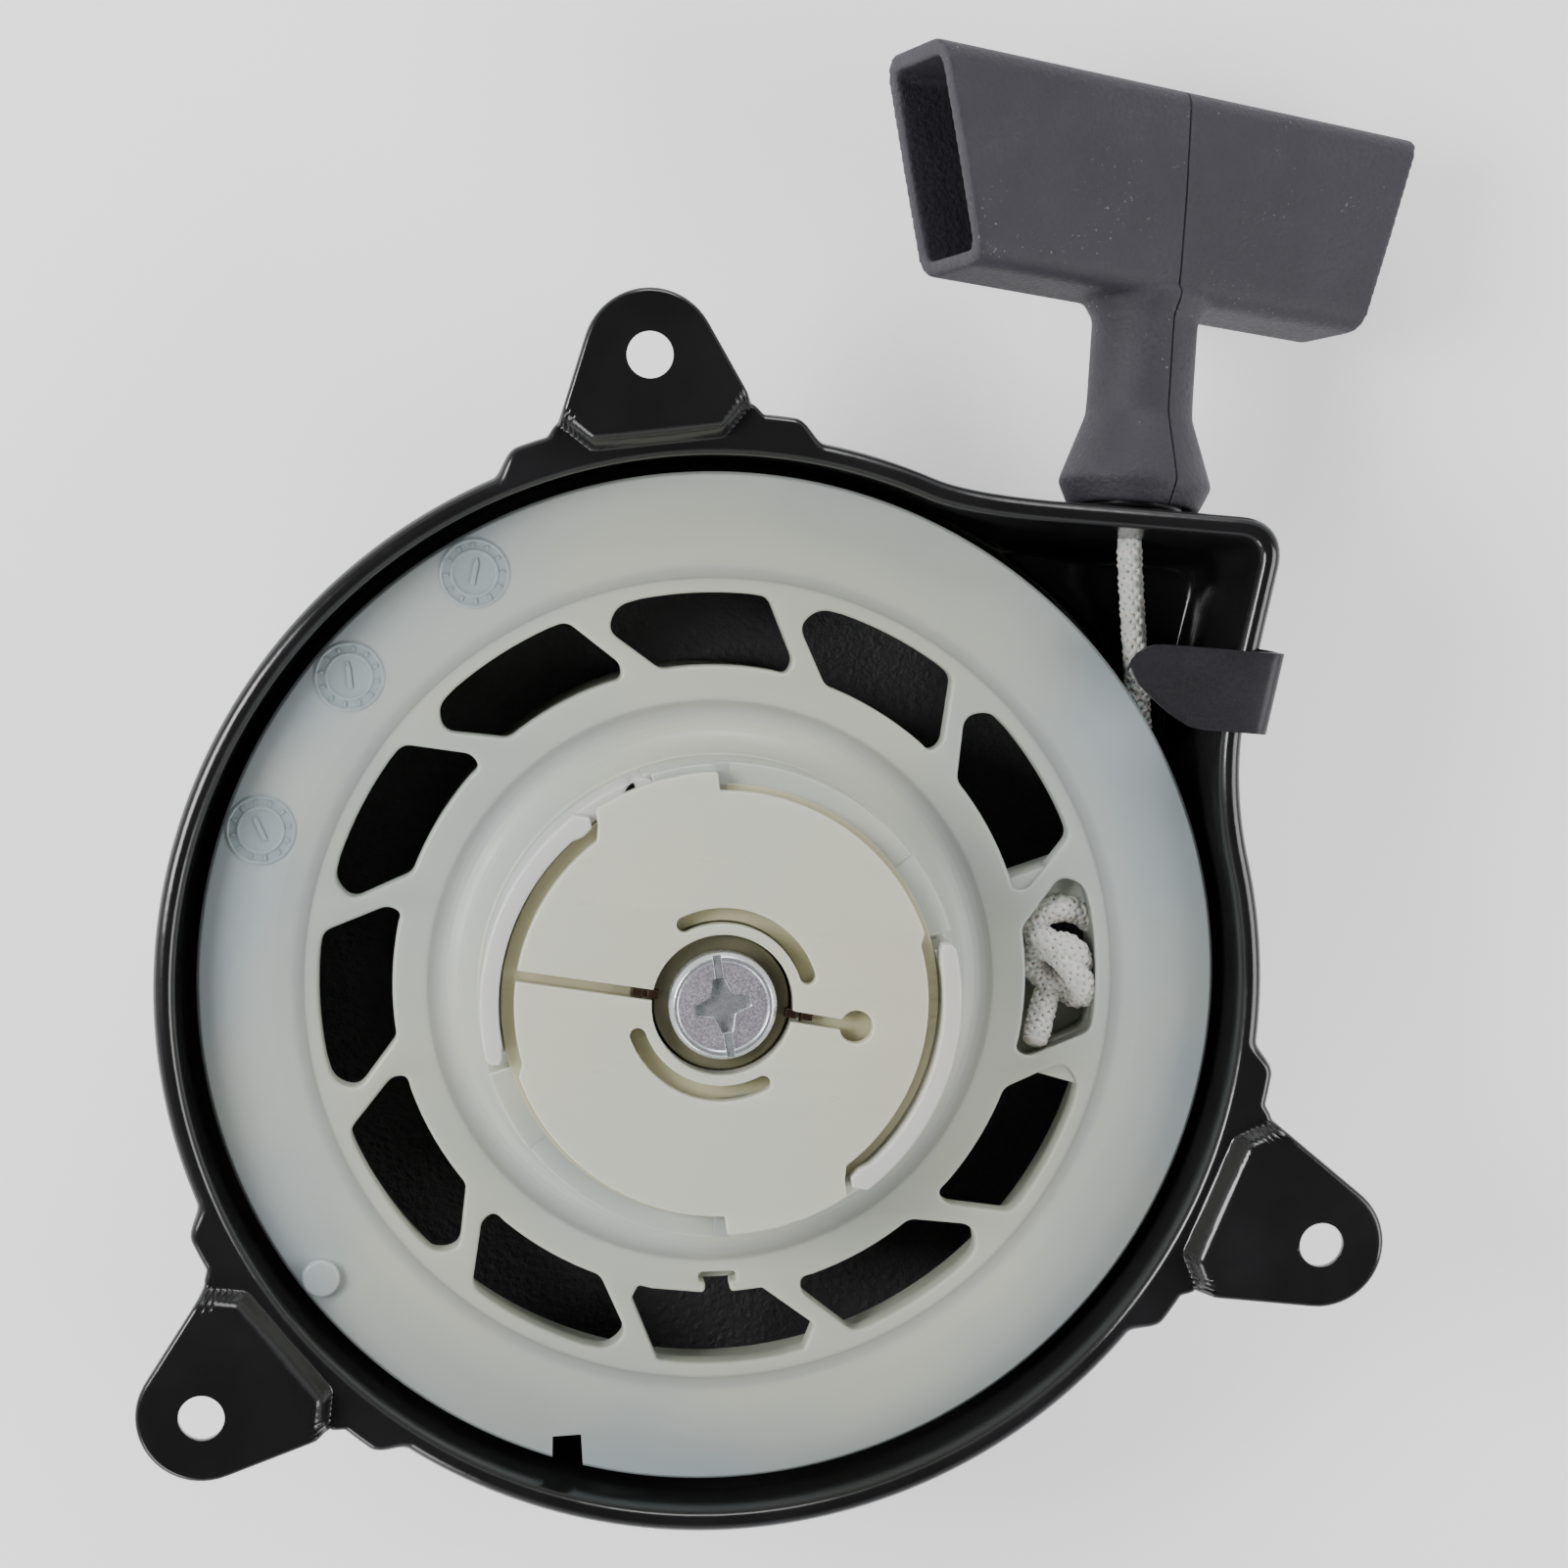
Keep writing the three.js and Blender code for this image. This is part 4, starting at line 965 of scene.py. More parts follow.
@dataclass(frozen=True)
class SatinSteel(Finish):
    """Dark phosphated or blued steel with a satin sheen."""

    name: str = "satin_dark_steel"
    slot: str = "dark_steel"
    tone: Point3 = (0.030, 0.029, 0.034)
    metallic: float = 0.2
    roughness: float = 0.42

    def paint(self, nodes: Nodes) -> None:
        """Even colour with fine grain and faint rubbing.

        Args:
            nodes: The material's helper.
        """
        grain = nodes.noise(1.8, 5, 0.7)
        lighter = tuple(channel * 1.6 for channel in self.tone)
        colour = nodes.mix(nodes.ramp(nodes.noise(0.09, 4), 0.4, 0.75), (*self.tone, 1), (*lighter, 1))
        rough = nodes.ramp(grain, 0.3, 0.7, self.roughness - 0.06, self.roughness + 0.1)
        nodes.wire(Base_Color=colour, Roughness=rough, Normal=nodes.bump(grain, 0.02), Metallic=self.metallic)


@dataclass(frozen=True)
class RopeBraid(Finish):
    """White braided rope, slightly soiled."""

    name: str = "white_rope"
    slot: str = "rope_braid"
    tone: Point3 = (0.74, 0.72, 0.67)

    def paint(self, nodes: Nodes) -> None:
        """Fibres, soiling and a soft sheen.

        Args:
            nodes: The material's helper.
        """
        fibre = nodes.noise(6.0, 4, 0.7)
        soil = nodes.ramp(nodes.noise(0.25, 4, 0.6), 0.4, 0.8)
        colour = nodes.mix(nodes.maths("MULTIPLY", soil, 0.5), (*self.tone, 1), (0.42, 0.39, 0.33, 1))
        colour = nodes.mix(nodes.ramp(fibre, 0.45, 0.75), colour, (0.86, 0.85, 0.82, 1))
        nodes.wire(
            Base_Color=colour, Roughness=0.62, Normal=nodes.bump(fibre, 0.035), Sheen_Weight=0.3,
            Subsurface_Weight=0.15, Subsurface_Scale=0.5 * MM,
        )


# ---- sub-assemblies ---------------------------------------------------------------------------
@dataclass
class Assembly(ABC):
    """A sub-assembly: it builds its pieces, dresses them and reports them."""

    pieces: list[bpy.types.Object] = field(default_factory=list, init=False)

    @abstractmethod
    def build(self) -> None:
        """Makes all the pieces."""

    def dress(
        self,
        piece: bpy.types.Object,
        finish: Finish,
        body: Body,
        nodes: Iterable[str] = (),
    ) -> bpy.types.Object:
        """Gives a piece its finish, its body and the frame nodes that it stands for.

        Args:
            piece: The finished mesh.
            finish: Its finish.
            body: The body that it rides on.
            nodes: The frame nodes that it replaces.

        Returns:
            The piece.
        """
        piece.data.materials.clear()
        piece.data.materials.append(finish.material())
        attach(piece, body.value)
        if nodes:
            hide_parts(*nodes)
        self.pieces.append(piece)
        return piece

    def report(self) -> None:
        """Logs each piece with its number of faces."""
        for piece in self.pieces:
            LOG.info("%s: %s, %d faces", type(self).__name__, piece.name, len(piece.data.polygons))


BOX_STEPS = (16, 10, 12, 14, 18)  # steps along the rope box: side bend, side, corner, top, top bend
EAR_PLACES = ((88.8, 96.05), (93.75, -23.3), (92.2, 218.9))  # radius and angle of each bolt hole


@dataclass
class Housing(Assembly):
    """The pressed cup: back, wall, rope box, rolled rim and three stepped ears."""

    sheet: float = 1.2
    radius: float = 77.8
    rim_z: float = 44.0
    lip: float = 3.0
    skirt: float = 2.8
    edge_roll: float = 1.0
    bend: float = 0.75
    box_corner: Point2 = (80.8, 65.7)
    box_top_slope: float = -4.75
    box_side_slope: float = 77.7
    box_corner_radius: float = 6.0
    box_floor_z: float = 12.6
    exit_lean: float = 8.0
    ear_rise: float = 3.5
    ear_hole: float = 3.2
    ear_end: float = 8.6
    ear_root: Point2 = (80.5, 13.0)
    shoulder: float = 80.3
    shoulder_end: float = 17.2
    shoulder_fade: float = 3.4
    crease: float = 76.6
    crease_half: float = 8.9
    crease_run: float = 2.6
    draft: float = 0.02

    def lines(self, inset: float, drop: float) -> tuple[Vector, Vector, Vector, Vector]:
        """The rope box's two edges, moved in: a point and a direction each.

        Args:
            inset: How far both move in.
            drop: The depth below the rim, which moves the leaning exit wall in further.

        Returns:
            Point and direction of the outer edge, then of the side edge.
        """
        along_top = Vector(polar(1, self.box_top_slope))
        along_side = Vector(polar(1, self.box_side_slope))
        corner = Vector(self.box_corner)
        lean = drop * math.tan(math.radians(self.exit_lean))
        top = corner + Vector((along_top.y, -along_top.x)) * (inset + lean)
        side = corner + Vector((-along_side.y, along_side.x)) * (inset + self.draft * drop)
        return top, along_top, side, along_side

    def outline(self, inset: float, drop: float = 0.0) -> tuple[list[Point2], list[Point2], list[float]]:
        """The housing in plan at an inset, with as many points at every inset.

        Args:
            inset: How far inside the rim's edge.
            drop: The depth below the rim.

        Returns:
            The points, the same columns put on the plain circle, and each column's angle.
        """
        circle = self.radius - inset - self.draft * drop
        top, along_top, side, along_side = self.lines(inset, drop)
        corner = crossing(top, along_top, side, along_side)
        round_off = max(self.box_corner_radius - inset * 0.6, 2.0)
        waist, shoulder = 13.0, 67.0
        waist_point = Vector(polar(circle, waist))
        waist_way = Vector(polar(1, waist + 90))
        shoulder_point = Vector(polar(circle, shoulder))
        shoulder_way = Vector(polar(1, shoulder - 90))
        side_length, top_length = 24.0, 30.0
        side_start = corner - along_side * side_length
        top_end = corner - along_top * top_length
        waist_control = crossing(waist_point, waist_way, side_start, along_side)
        shoulder_control = crossing(shoulder_point, shoulder_way, top_end, along_top)
        side_bend, side_run, corner_bend, top_run, top_bend = BOX_STEPS
        points = bezier(tuple(waist_point), tuple(waist_control), tuple(side_start), side_bend)
        before = corner - along_side * round_off
        for i in range(side_run):
            points.append(tuple(side_start.lerp(before, i / side_run)))
        after = corner - along_top * round_off
        points += bezier(tuple(before), tuple(corner), tuple(after), corner_bend)
        for i in range(top_run):
            points.append(tuple(after.lerp(top_end, i / top_run)))
        points += bezier(tuple(top_end), tuple(shoulder_control), tuple(shoulder_point), top_bend)
        box_columns = len(points)
        circle_points = [
            polar(circle, waist + (shoulder - waist) * i / box_columns) for i in range(box_columns)
        ]
        angles = [math.degrees(math.atan2(y, x)) for x, y in points]
        for angle in self.circle_angles(shoulder, waist + 360):
            points.append(polar(circle, angle))
            circle_points.append(points[-1])
            angles.append(angle)
        return points, circle_points, angles

    def circle_angles(self, start: float, end: float) -> list[float]:
        """Angles round the plain part, closer together at the ears.

        Args:
            start: The first angle in degrees.
            end: The last angle.

        Returns:
            The angles in order.
        """
        angles, angle = [], start
        while angle < end - 0.25:
            angles.append(angle)
            angle += 0.35 if abs(self.from_ear(angle)[0]) < 19 else 1.5
        return angles

    def from_ear(self, angle: float) -> tuple[float, float]:
        """The angle from the nearest ear's middle, and the radius of that ear's hole."""
        offsets = [((angle - ear + 180) % 360 - 180, hole) for hole, ear in EAR_PLACES]
        return min(offsets, key=lambda pair: abs(pair[0]))

    def ear_radius(self, off: float, hole: float) -> float:
        """The rim's outer radius at an angle from the middle of an ear with its hole at a radius.

        Args:
            off: The angle from the ear's middle.
            hole: The radius of the ear's hole.

        Returns:
            The radius.
        """
        off = abs(off)
        root_x, root_y = self.ear_root
        reach_x, reach_y = hole - root_x, root_y
        reach = math.hypot(reach_x, reach_y)
        normal = math.degrees(math.atan2(reach_y, -reach_x)) - math.degrees(math.acos(self.ear_end / reach))
        touch_x = hole + self.ear_end * math.cos(math.radians(normal))
        touch_y = self.ear_end * math.sin(math.radians(normal))
        touch = math.degrees(math.atan2(touch_y, touch_x))
        root = math.degrees(math.atan2(root_y, root_x))
        if off <= touch:
            across = hole * math.sin(math.radians(off))
            return hole * math.cos(math.radians(off)) + math.sqrt(self.ear_end**2 - across**2)
        if off <= root:
            ray = Vector(polar(1, off))
            way = Vector((touch_x - root_x, touch_y - root_y))
            return crossing(Vector((0, 0)), ray, Vector(self.ear_root), way).length
        root_radius = math.hypot(root_x, root_y)
        if off <= root + 1.6:
            return root_radius + (self.shoulder - root_radius) * smoothstep((off - root) / 1.6)
        return self.radius + (self.shoulder - self.radius) * smoothstep(
            (self.shoulder_end - off) / self.shoulder_fade
        )

    def ear_height(self, x: float, y: float) -> float:
        """How far the sheet is raised at a place, for the nearest ear.

        Args:
            x: The place's x in millimetres.
            y: The place's y.

        Returns:
            The height above the rim.
        """
        angle = math.degrees(math.atan2(y, x))
        off = math.radians(self.from_ear(angle)[0])
        reach = math.hypot(x, y)
        u, v = reach * math.cos(off), abs(reach * math.sin(off))
        if v > 15 or u < 70:
            return 0.0
        crease = self.crease + max(0.0, v - self.crease_half)
        return self.ear_rise * smoothstep((u - crease) / self.crease_run)

    def build(self) -> None:
        """The sheet as one skin, thickened, with its bolt holes."""
        mid = self.sheet / 2
        rows: list[list[Point3]] = []
        base, _, angles = self.outline(self.edge_roll + mid)
        inner, _, _ = self.outline(self.lip - mid - self.bend)
        columns, box_columns = len(base), sum(BOX_STEPS)
        extra = [0.0] * box_columns
        extra += [self.ear_radius(*self.from_ear(angle)) - self.radius for angle in angles[box_columns:]]
        tuck = [1.0 - 0.8 * smoothstep(e / 4.0) for e in extra]
        top = self.rim_z - mid

        def edge_point(i: int, out: float, down: float) -> Point3:
            """A point of the rolled edge, `out` beyond the flat and `down` below it.

            Args:
                i: The column.
                out: How far beyond the flat, in millimetres.
                down: How far below the top.

            Returns:
                The point.
            """
            x, y = base[i]
            if i >= box_columns:
                outward = Vector(polar(1, angles[i]))
            else:
                before, after = base[i - 1], base[i + 1]
                outward = Vector((before[1] - after[1], after[0] - before[0])).normalized() * -1
            full = self.edge_roll + mid
            shift = extra[i] + (full - full * tuck[i]) + out * tuck[i]
            x, y = x + outward.x * shift, y + outward.y * shift
            return x, y, top - down * tuck[i] + self.ear_height(x, y)

        rows.append([edge_point(i, self.edge_roll, self.skirt - mid) for i in range(columns)])
        for step in range(5):
            turned = math.radians(90 * step / 4)
            out = self.edge_roll * math.cos(turned)
            down = self.edge_roll * (1 - math.sin(turned))
            rows.append([edge_point(i, out, down) for i in range(columns)])
        outer = rows[-1]
        flat_rows = 36
        for k in range(1, flat_rows):
            share = k / flat_rows
            row = []
            for i in range(columns):
                x = outer[i][0] + (inner[i][0] - outer[i][0]) * share
                y = outer[i][1] + (inner[i][1] - outer[i][1]) * share
                row.append((x, y, top + self.ear_height(x, y)))
            rows.append(row)
        wall = self.lip - mid
        for step in range(6):
            turned = math.radians(90 * step / 5)
            inset = wall - self.bend + self.bend * math.sin(turned)
            rows.append([(x, y, top - self.bend * (1 - math.cos(turned))) for x, y in self.outline(inset)[0]])
        for z in (38.0, 30.0, 22.0):
            rows.append([(x, y, z) for x, y in self.outline(wall, self.rim_z - z)[0]])
        rows += self.lower_rows(wall)
        enamel = GlossEnamel(holes=tuple(polar(*ear) for ear in EAR_PLACES))
        self.dress(self.skin(rows), enamel, Body.HOUSING, ["housing"])

    def lower_rows(self, wall: float) -> list[list[Point3]]:
        """The rope box's floor, the cup's bottom bend and its back.

        Args:
            wall: The wall's inset.

        Returns:
            Rows of points from the wall down to the middle of the back.
        """
        rows = []
        fillet, floor = 4.0, self.box_floor_z
        for step in range(5):
            turned = math.radians(90 * step / 4)
            height, curl = floor + fillet * (1 - math.sin(turned)), 1 - math.cos(turned)
            rows.append(self.blended(wall, height, curl, 0.0, 16 - step * 0.7))
        for share, circle_z in ((0.3, 12.6), (0.6, 12.0), (0.85, 11.4)):
            rows.append(self.blended(wall, floor, 1.0, share, circle_z))
        rows.append(self.blended(wall, floor - 0.3, 1.0, 0.97, 10.8))
        rows.append(self.blended(wall, floor - 1.4, 1.0, 1.0, 10.0))
        bend = 7 - self.sheet / 2
        drop = self.rim_z - bend
        circle = self.radius - wall - self.draft * drop
        angles = self.column_angles()
        for step in range(9):
            turned = math.radians(90 * step / 8)
            radius = circle - bend * (1 - math.cos(turned))
            z = self.sheet / 2 + bend * (1 - math.sin(turned))
            rows.append([(*polar(radius, a), z) for a in angles])
        pressed_ring = (
            (60, 0), (36, 0), (34.5, 0.12), (33, 0.7), (31.5, 0.8),
            (22, 0.8), (20.5, 0.7), (19, 0.12), (17.5, 0), (10, 0),
        )
        for radius, lift in pressed_ring:
            rows.append([(*polar(radius, a), self.sheet / 2 + lift) for a in angles])
        return rows

    def column_angles(self) -> list[float]:
        """The angle of each column on the plain circle."""
        return [math.degrees(math.atan2(y, x)) for x, y in self.outline(self.lip)[1]]

    def blended(self, wall: float, z: float, curl: float, share: float, circle_z: float) -> list[Point3]:
        """A row in the rope box's bottom, where the box fades into the cup's wall.

        Args:
            wall: The wall's inset.
            z: The row's height inside the box.
            curl: How far round the bottom bend, 0 to 1.
            share: How far across the floor towards the cup, 0 to 1.
            circle_z: The row's height on the plain wall.

        Returns:
            The row.
        """
        drop = self.rim_z - self.box_floor_z
        box, circle, _ = self.outline(wall, drop)
        row = []
        for i, ((bx, by), (cx, cy)) in enumerate(zip(box, circle)):
            gap = math.hypot(bx - cx, by - cy)
            weight = smoothstep(gap / 5.0)
            near = min(4.0, gap * 0.45) * curl / gap if gap > 1e-6 else 0.0
            part = near + (1 - near) * share
            row.append((bx + (cx - bx) * part, by + (cy - by) * part, circle_z + (z - circle_z) * weight))
        return row

    def skin(self, rows: list[list[Point3]]) -> bpy.types.Object:
        """Rows of points as a thick sheet with bolt holes and soft edges.

        Args:
            rows: Rows of points from the rim to the back.

        Returns:
            The housing.
        """
        count = len(rows[0])
        points = [p for row in rows for p in row]
        points.append((0.0, 0.0, rows[-1][0][2]))
        faces = []
        for r in range(len(rows) - 1):
            for i in range(count):
                j = (i + 1) % count
                faces.append((r * count + i, r * count + j, (r + 1) * count + j, (r + 1) * count + i))
        last = (len(rows) - 1) * count
        for i in range(count):
            faces.append((last + i, last + (i + 1) % count, len(points) - 1))
        shell = from_faces("starter_housing", points, faces)
        thick = shell.modifiers.new("sheet", "SOLIDIFY")
        thick.thickness = self.sheet * MM
        thick.offset = 0
        thick.use_even_offset = False
        apply_modifiers(shell)
        holes = []
        for radius, angle in EAR_PLACES:
            x, y = polar(radius, angle)
            place = Vector((x, y, self.rim_z + self.ear_rise))
            holes.append(cylinder(place, Vector((0, 0, 1)), self.ear_hole, 8, 40))
        boolean(shell, holes)
        return soften(round_edges(shell, 0.28, 2, 76), 62)


@dataclass
class GuardTab(Assembly):
    """The bent steel tab that hooks over the rim and keeps the rope in its groove."""

    sheet: float = 1.2
    width: float = 11.6
    top_z: float = 45.5
    corner: Point2 = (80.8, 65.7)
    side_slope: float = 77.7
    top_slope: float = -4.75
    out: float = 3.4
    reach: float = 18.4
    place: float = 24.6

    def build(self) -> None:
        """A strip along its own bent line, its tip rounded and its near edge swept."""
        along = Vector(polar(1, self.side_slope))
        lean = math.tan(math.radians(self.top_slope - self.side_slope + 90))
        outward = Vector((along.y, -along.x)) + along * lean
        middle = Vector(self.corner) - along * self.place
        line: list[tuple[float, float]] = []
        mid = self.sheet / 2
        bend = 1.6
        flat_end = self.out - mid - bend
        for i in range(15):
            done = (1 - math.cos(math.pi / 2 * i / 14)) ** 0.8
            line.append((-self.reach + (self.reach + flat_end) * done, self.top_z - mid))
        for i in range(1, 7):
            turned = math.radians(15 * i)
            line.append(
                (flat_end + bend * math.sin(turned), self.top_z - mid - bend * (1 - math.cos(turned)))
            )
        tail = [(self.out - mid, 38.4), (self.out - 1.4, 36.6), (-0.7, 34.9), (-0.9, 34.0), (-0.9, 28.6)]
        line += rounded([line[-1], *tail], 1.6, 4, closed=False)[1:]
        points, faces = [], []
        across_steps = 8
        for outwards, z in line:
            low, high = self.span(outwards)
            for k in range(across_steps + 1):
                along_amount = low + (high - low) * k / across_steps
                place = middle + outward * outwards + along * along_amount
                points.append((place.x, place.y, z))
        row = across_steps + 1
        for i in range(len(line) - 1):
            for k in range(across_steps):
                a = i * row + k
                faces.append((a, a + 1, a + 1 + row, a + row))
        strip = from_faces("rope_guard", points, faces)
        thick = strip.modifiers.new("sheet", "SOLIDIFY")
        thick.thickness = self.sheet * MM
        thick.offset = 0
        apply_modifiers(strip)
        dark = SatinSteel(tone=(0.018, 0.0175, 0.021))
        self.dress(soften(round_edges(strip, 0.22, 2, 50), 40), dark, Body.HOUSING, ["rope_guard_tab"])

    def span(self, outwards: float) -> tuple[float, float]:
        """The strip's two edges at a place along it, from its middle line.

        Args:
            outwards: The place, from the rim outwards.

        Returns:
            The low edge and the high edge.
        """
        half = self.width / 2
        from_tip = outwards + self.reach
        round_high = 4.2
        high = half
        if from_tip < round_high:
            high = half - round_high + math.sqrt(max(round_high**2 - (round_high - from_tip) ** 2, 0))
        low = -half
        slant = 11.5
        if from_tip < slant:
            share = from_tip / slant
            low = -half + 7.4 * (1 - share) ** 1.35
        if from_tip < 1.6:
            low = min(low + (1.6 - from_tip) * 0.9, high - 0.2)
        return low, high


@dataclass
class RopeExit(Assembly):
    """The flanged guide in the exit wall, and the rope from the coil to its mouth."""

    rope: Braid = field(default_factory=Braid)
    tangent: float = 64.7

    def build(self) -> None:
        """The guide from the frame's bush, and the braided run."""
        self.guide()
        self.run()

    def guide(self) -> None:
        """The guide, turned about the handle's axis."""
        way = joint_axis("handle_pull")
        foot = Grip().foot()
        bore, neck, flange = 2.2, 4.6, 7.0
        face = -4.7
        profile = rounded([
            (bore, face - 2.6), (flange, face - 2.6), (flange, face - 0.9), (neck, face - 0.9),
            (neck, face + 1.2),
            (flange, face + 1.2), (flange, face + 3.0), (neck + 0.7, 1.6), (neck, 2.6), (bore, 2.6),
        ], 0.7, 4)
        piece = lathe("rope_guide_bush", profile, 64)
        piece.data.transform(Vector((0, 0, 1)).rotation_difference(way).to_matrix().to_4x4())
        piece.data.transform(Matrix.Translation(foot * MM))
        black = SatinSteel("black_moulded_nylon", "black_nylon", (0.010, 0.010, 0.011), 0.0, 0.38)
        self.dress(soften(piece), black, Body.HOUSING, ["rope_guide"])

    def run(self) -> None:
        """The stretch from the coil to the guide's mouth."""
        way, foot = joint_axis("handle_pull"), Grip().foot()
        mouth = foot + way * -9.5
        reach = math.hypot(mouth.x, mouth.y)
        bearing = math.degrees(math.atan2(mouth.y, mouth.x))
        leave = bearing - math.degrees(math.acos(self.tangent / reach))
        start = Vector((*polar(self.tangent, leave), foot.z))
        line = Path([start, start.lerp(mouth, 0.33), start.lerp(mouth, 0.66), mouth, foot + way * -3])
        piece = self.rope.build("rope_run_braid", line)
        self.dress(piece, RopeBraid(), Body.HOUSING, ["rope_run"])


@dataclass
class Pulley(Assembly):
    """The nylon moulding: flanges, windowed web, drum, hub with pawl pockets, and what it carries."""

    top: float = 36.0
    radius: float = 72.5
    groove: float = 58.4
    web_outer: float = 59.5
    web_top: float = 35.55
    web: float = 4.2
    drum: float = 44.0
    hub: float = 32.6
    hub_top: float = 51.4
    pawl_floor: float = 41.2
    window_count: int = 12
    window_start: float = 91.0
    knot_window: int = 3
    keyed_window: int = 6
    finish: Nylon = Nylon(
        "pulley_nylon", "nylon", (0.43, 0.49, 0.50), (0.56, 0.58, 0.49), 0.36, 0.4, 2.2, 72.5
    )

    def build(self) -> None:
        """Every part of the moulding as one piece, then its small marks."""
        parts = [self.body(), self.windowed_web(), self.hub_wall(), self.knot_pocket(), self.boss()]
        moulding = combine("rope_pulley", parts)
        self.dress(soften(moulding, 38), self.finish, Body.PULLEY, ["pulley"])
        self.core()
        for i, angle in enumerate((119.7, 139.1, 160.4)):
            self.date_wheel(i, angle)

    def window_outline(self, turned: float, keyed: bool = False) -> list[Point2]:
        """One window: a slanted leading side, a square trailing side and rounded corners.

        Args:
            turned: The angle of its middle in degrees.
            keyed: True for the window with the T-shaped hook slot in its inner side.

        Returns:
            The outline.
        """
        corners = [
            polar(45.1, -14.6), polar(47.2, -15.2), polar(55.4, -9.3),
            *arc((0, 0), 55.5, -6.5, 9.5, 8), polar(55.3, 13.0), polar(52.3, 15.4),
        ]
        if not keyed:
            corners += arc((0, 0), 45.2, 8.2, -12.0, 8)
            return spun(rounded(corners, 3.5, 5), turned)
        neck, slot = 2.3, 3.6
        corners += [
            polar(45.2, 8.2), polar(45.2, neck), polar(43.6, neck), polar(43.6, slot), polar(42.2, slot)
        ]
        corners += [
            polar(42.2, -slot), polar(43.6, -slot), polar(43.6, -neck), polar(45.2, -neck),
            polar(45.2, -12.0)
        ]
        return spun(rounded(corners, 0.7, 4), turned)

    def windowed_web(self) -> bpy.types.Object:
        """The flat web with its twelve windows.

        Returns:
            The web.
        """
        holes = []
        for i in range(self.window_count):
            angle = self.window_start - i * 360 / self.window_count
            holes.append(self.window_outline(angle, i == self.keyed_window))
        ring = arc((0, 0), self.web_outer, 0, 358.5, 239)
        inner = arc((0, 0), 37.5, 0, 357, 119)
        return plate("web", ring, [inner, *holes], self.web_top - self.web, self.web_top, 0.55, 3)

    def body(self) -> bpy.types.Object:
        """The flanges, groove, drum and inner web, cut by the rim's notch.

        Returns:
            The body.
        """
        top, groove_top, groove_low = self.top, self.top - 2.0, self.top - 9.6
        outer = [
            (self.groove, groove_low), (self.groove, groove_top), (self.radius - 0.2, groove_top + 0.1),
            (self.radius, top - 0.5), (self.radius - 0.45, top), (62.0, top), (57.4, self.web_top - 0.02),
            (56.5, self.web_top - self.web), (56.5, groove_low - 2.0), (71.0, groove_low - 2.0),
            (71.0, groove_low - 0.2),
        ]
        flange = lathe("flange", rounded(outer, 0.35, 3), 240)
        x, y = polar(72.0, 253.2)
        corners = [(x - 2.3, y - 3.5), (x + 2.3, y - 3.5), (x + 1.9, y + 3.6), (x - 2.2, y + 3.4)]
        notch = plate("notch", corners, [], groove_top - 1.5, top + 1, 0.05)
        boolean(flange, [notch])
        wall = (self.hub + 0.8, self.pawl_floor)
        fillet = bezier((40.6, self.web_top - 0.02), (self.hub + 1.3, self.web_top), wall, 12)
        middle = [
            *fillet, wall, (13.0, self.pawl_floor),
            (13.0, 40.0), (26.0, 40.0), (26.0, 24.0), (self.drum - 2, 24.0), (self.drum - 2, 5.0),
            (self.drum, 5.0),
            (self.drum, self.web_top - self.web), (41.0, self.web_top - self.web + 0.2),
        ]
        return combine("body", [flange, lathe("middle", rounded(middle, 0.8, 4), 160)])

    def hub_wall(self) -> bpy.types.Object:
        """The hub's upright walls between the two pawls, with their ledges.

        Returns:
            The walls.
        """
        parts = []
        for half in (0, 180):
            low_ledge = sector(13.0, self.hub + 0.5, 37 + half, 109 + half, 44)
            parts.append(plate("ledge", low_ledge, [], self.pawl_floor - 0.3, self.hub_top - 1.9, 0.35))
            high_ledge = sector(13.0, self.hub + 0.7, 16.5 + half, 37.5 + half, 20)
            parts.append(plate("step", high_ledge, [], self.pawl_floor - 0.3, self.hub_top - 0.2, 0.35))
            outer_wall = sector(self.hub - 2.7, self.hub + 0.5, 37 + half, 92 + half, 44)
            parts.append(plate("rim", outer_wall, [], self.hub_top - 2.2, self.hub_top - 0.2, 0.3))
            under_lobe = sector(13.0, self.hub + 0.3, 88 + half, 107 + half, 12)
            parts.append(plate("seat", under_lobe, [], self.hub_top - 2.4, self.hub_top - 0.1, 0.25))
        return combine("hub", parts)

    def core(self) -> None:
        """The core under the friction plate, seen through its slits, coloured bright yellow as painted light
        for the glow in the gaps.
        """
        ring = plate("hub_core", arc((0, 0), 30.2, 0, 357, 119), [arc((0, 0), 11.3, 0, 354, 59)],
                     self.pawl_floor - 0.3, self.hub_top - 0.1, 0.2)
        # Painted light: a brighter, yellower copy of the pulley's nylon. It stands in for light shining
        # through the translucent nylon into the gaps round the plate and the pawls.
        core_glow_nylon = Nylon("painted_glow_core_nylon", "nylon", (0.57, 0.54, 0.36), (0.62, 0.58, 0.40), 0.3, 0.45, 2.5)
        self.dress(ring, core_glow_nylon, Body.PULLEY)

    def knot_pocket(self) -> bpy.types.Object:
        """The closed window that holds the rope's knot: walls and a floor with two openings.

        Returns:
            The pocket.
        """
        middle = self.window_start - self.knot_window * 360 / self.window_count
        around = sector(43.2, 57.4, middle - 17.5, middle + 17.5, 20)
        walls = plate("walls", around, [self.window_outline(middle)], self.top - 9.6, self.web_top - 0.6, 0.2)
        floor = plate(
            "floor", sector(44.0, 57.0, middle - 16.5, middle - 3.0, 12), [], self.top - 10.4,
            self.top - 9.0, 0.3
        )
        head = plate(
            "head", sector(44.5, 57.0, middle + 7.0, middle + 16.5, 12), [], self.top - 8.2, self.top - 4.4,
            1.2, 4
        )
        return combine("pocket", [walls, floor, head])

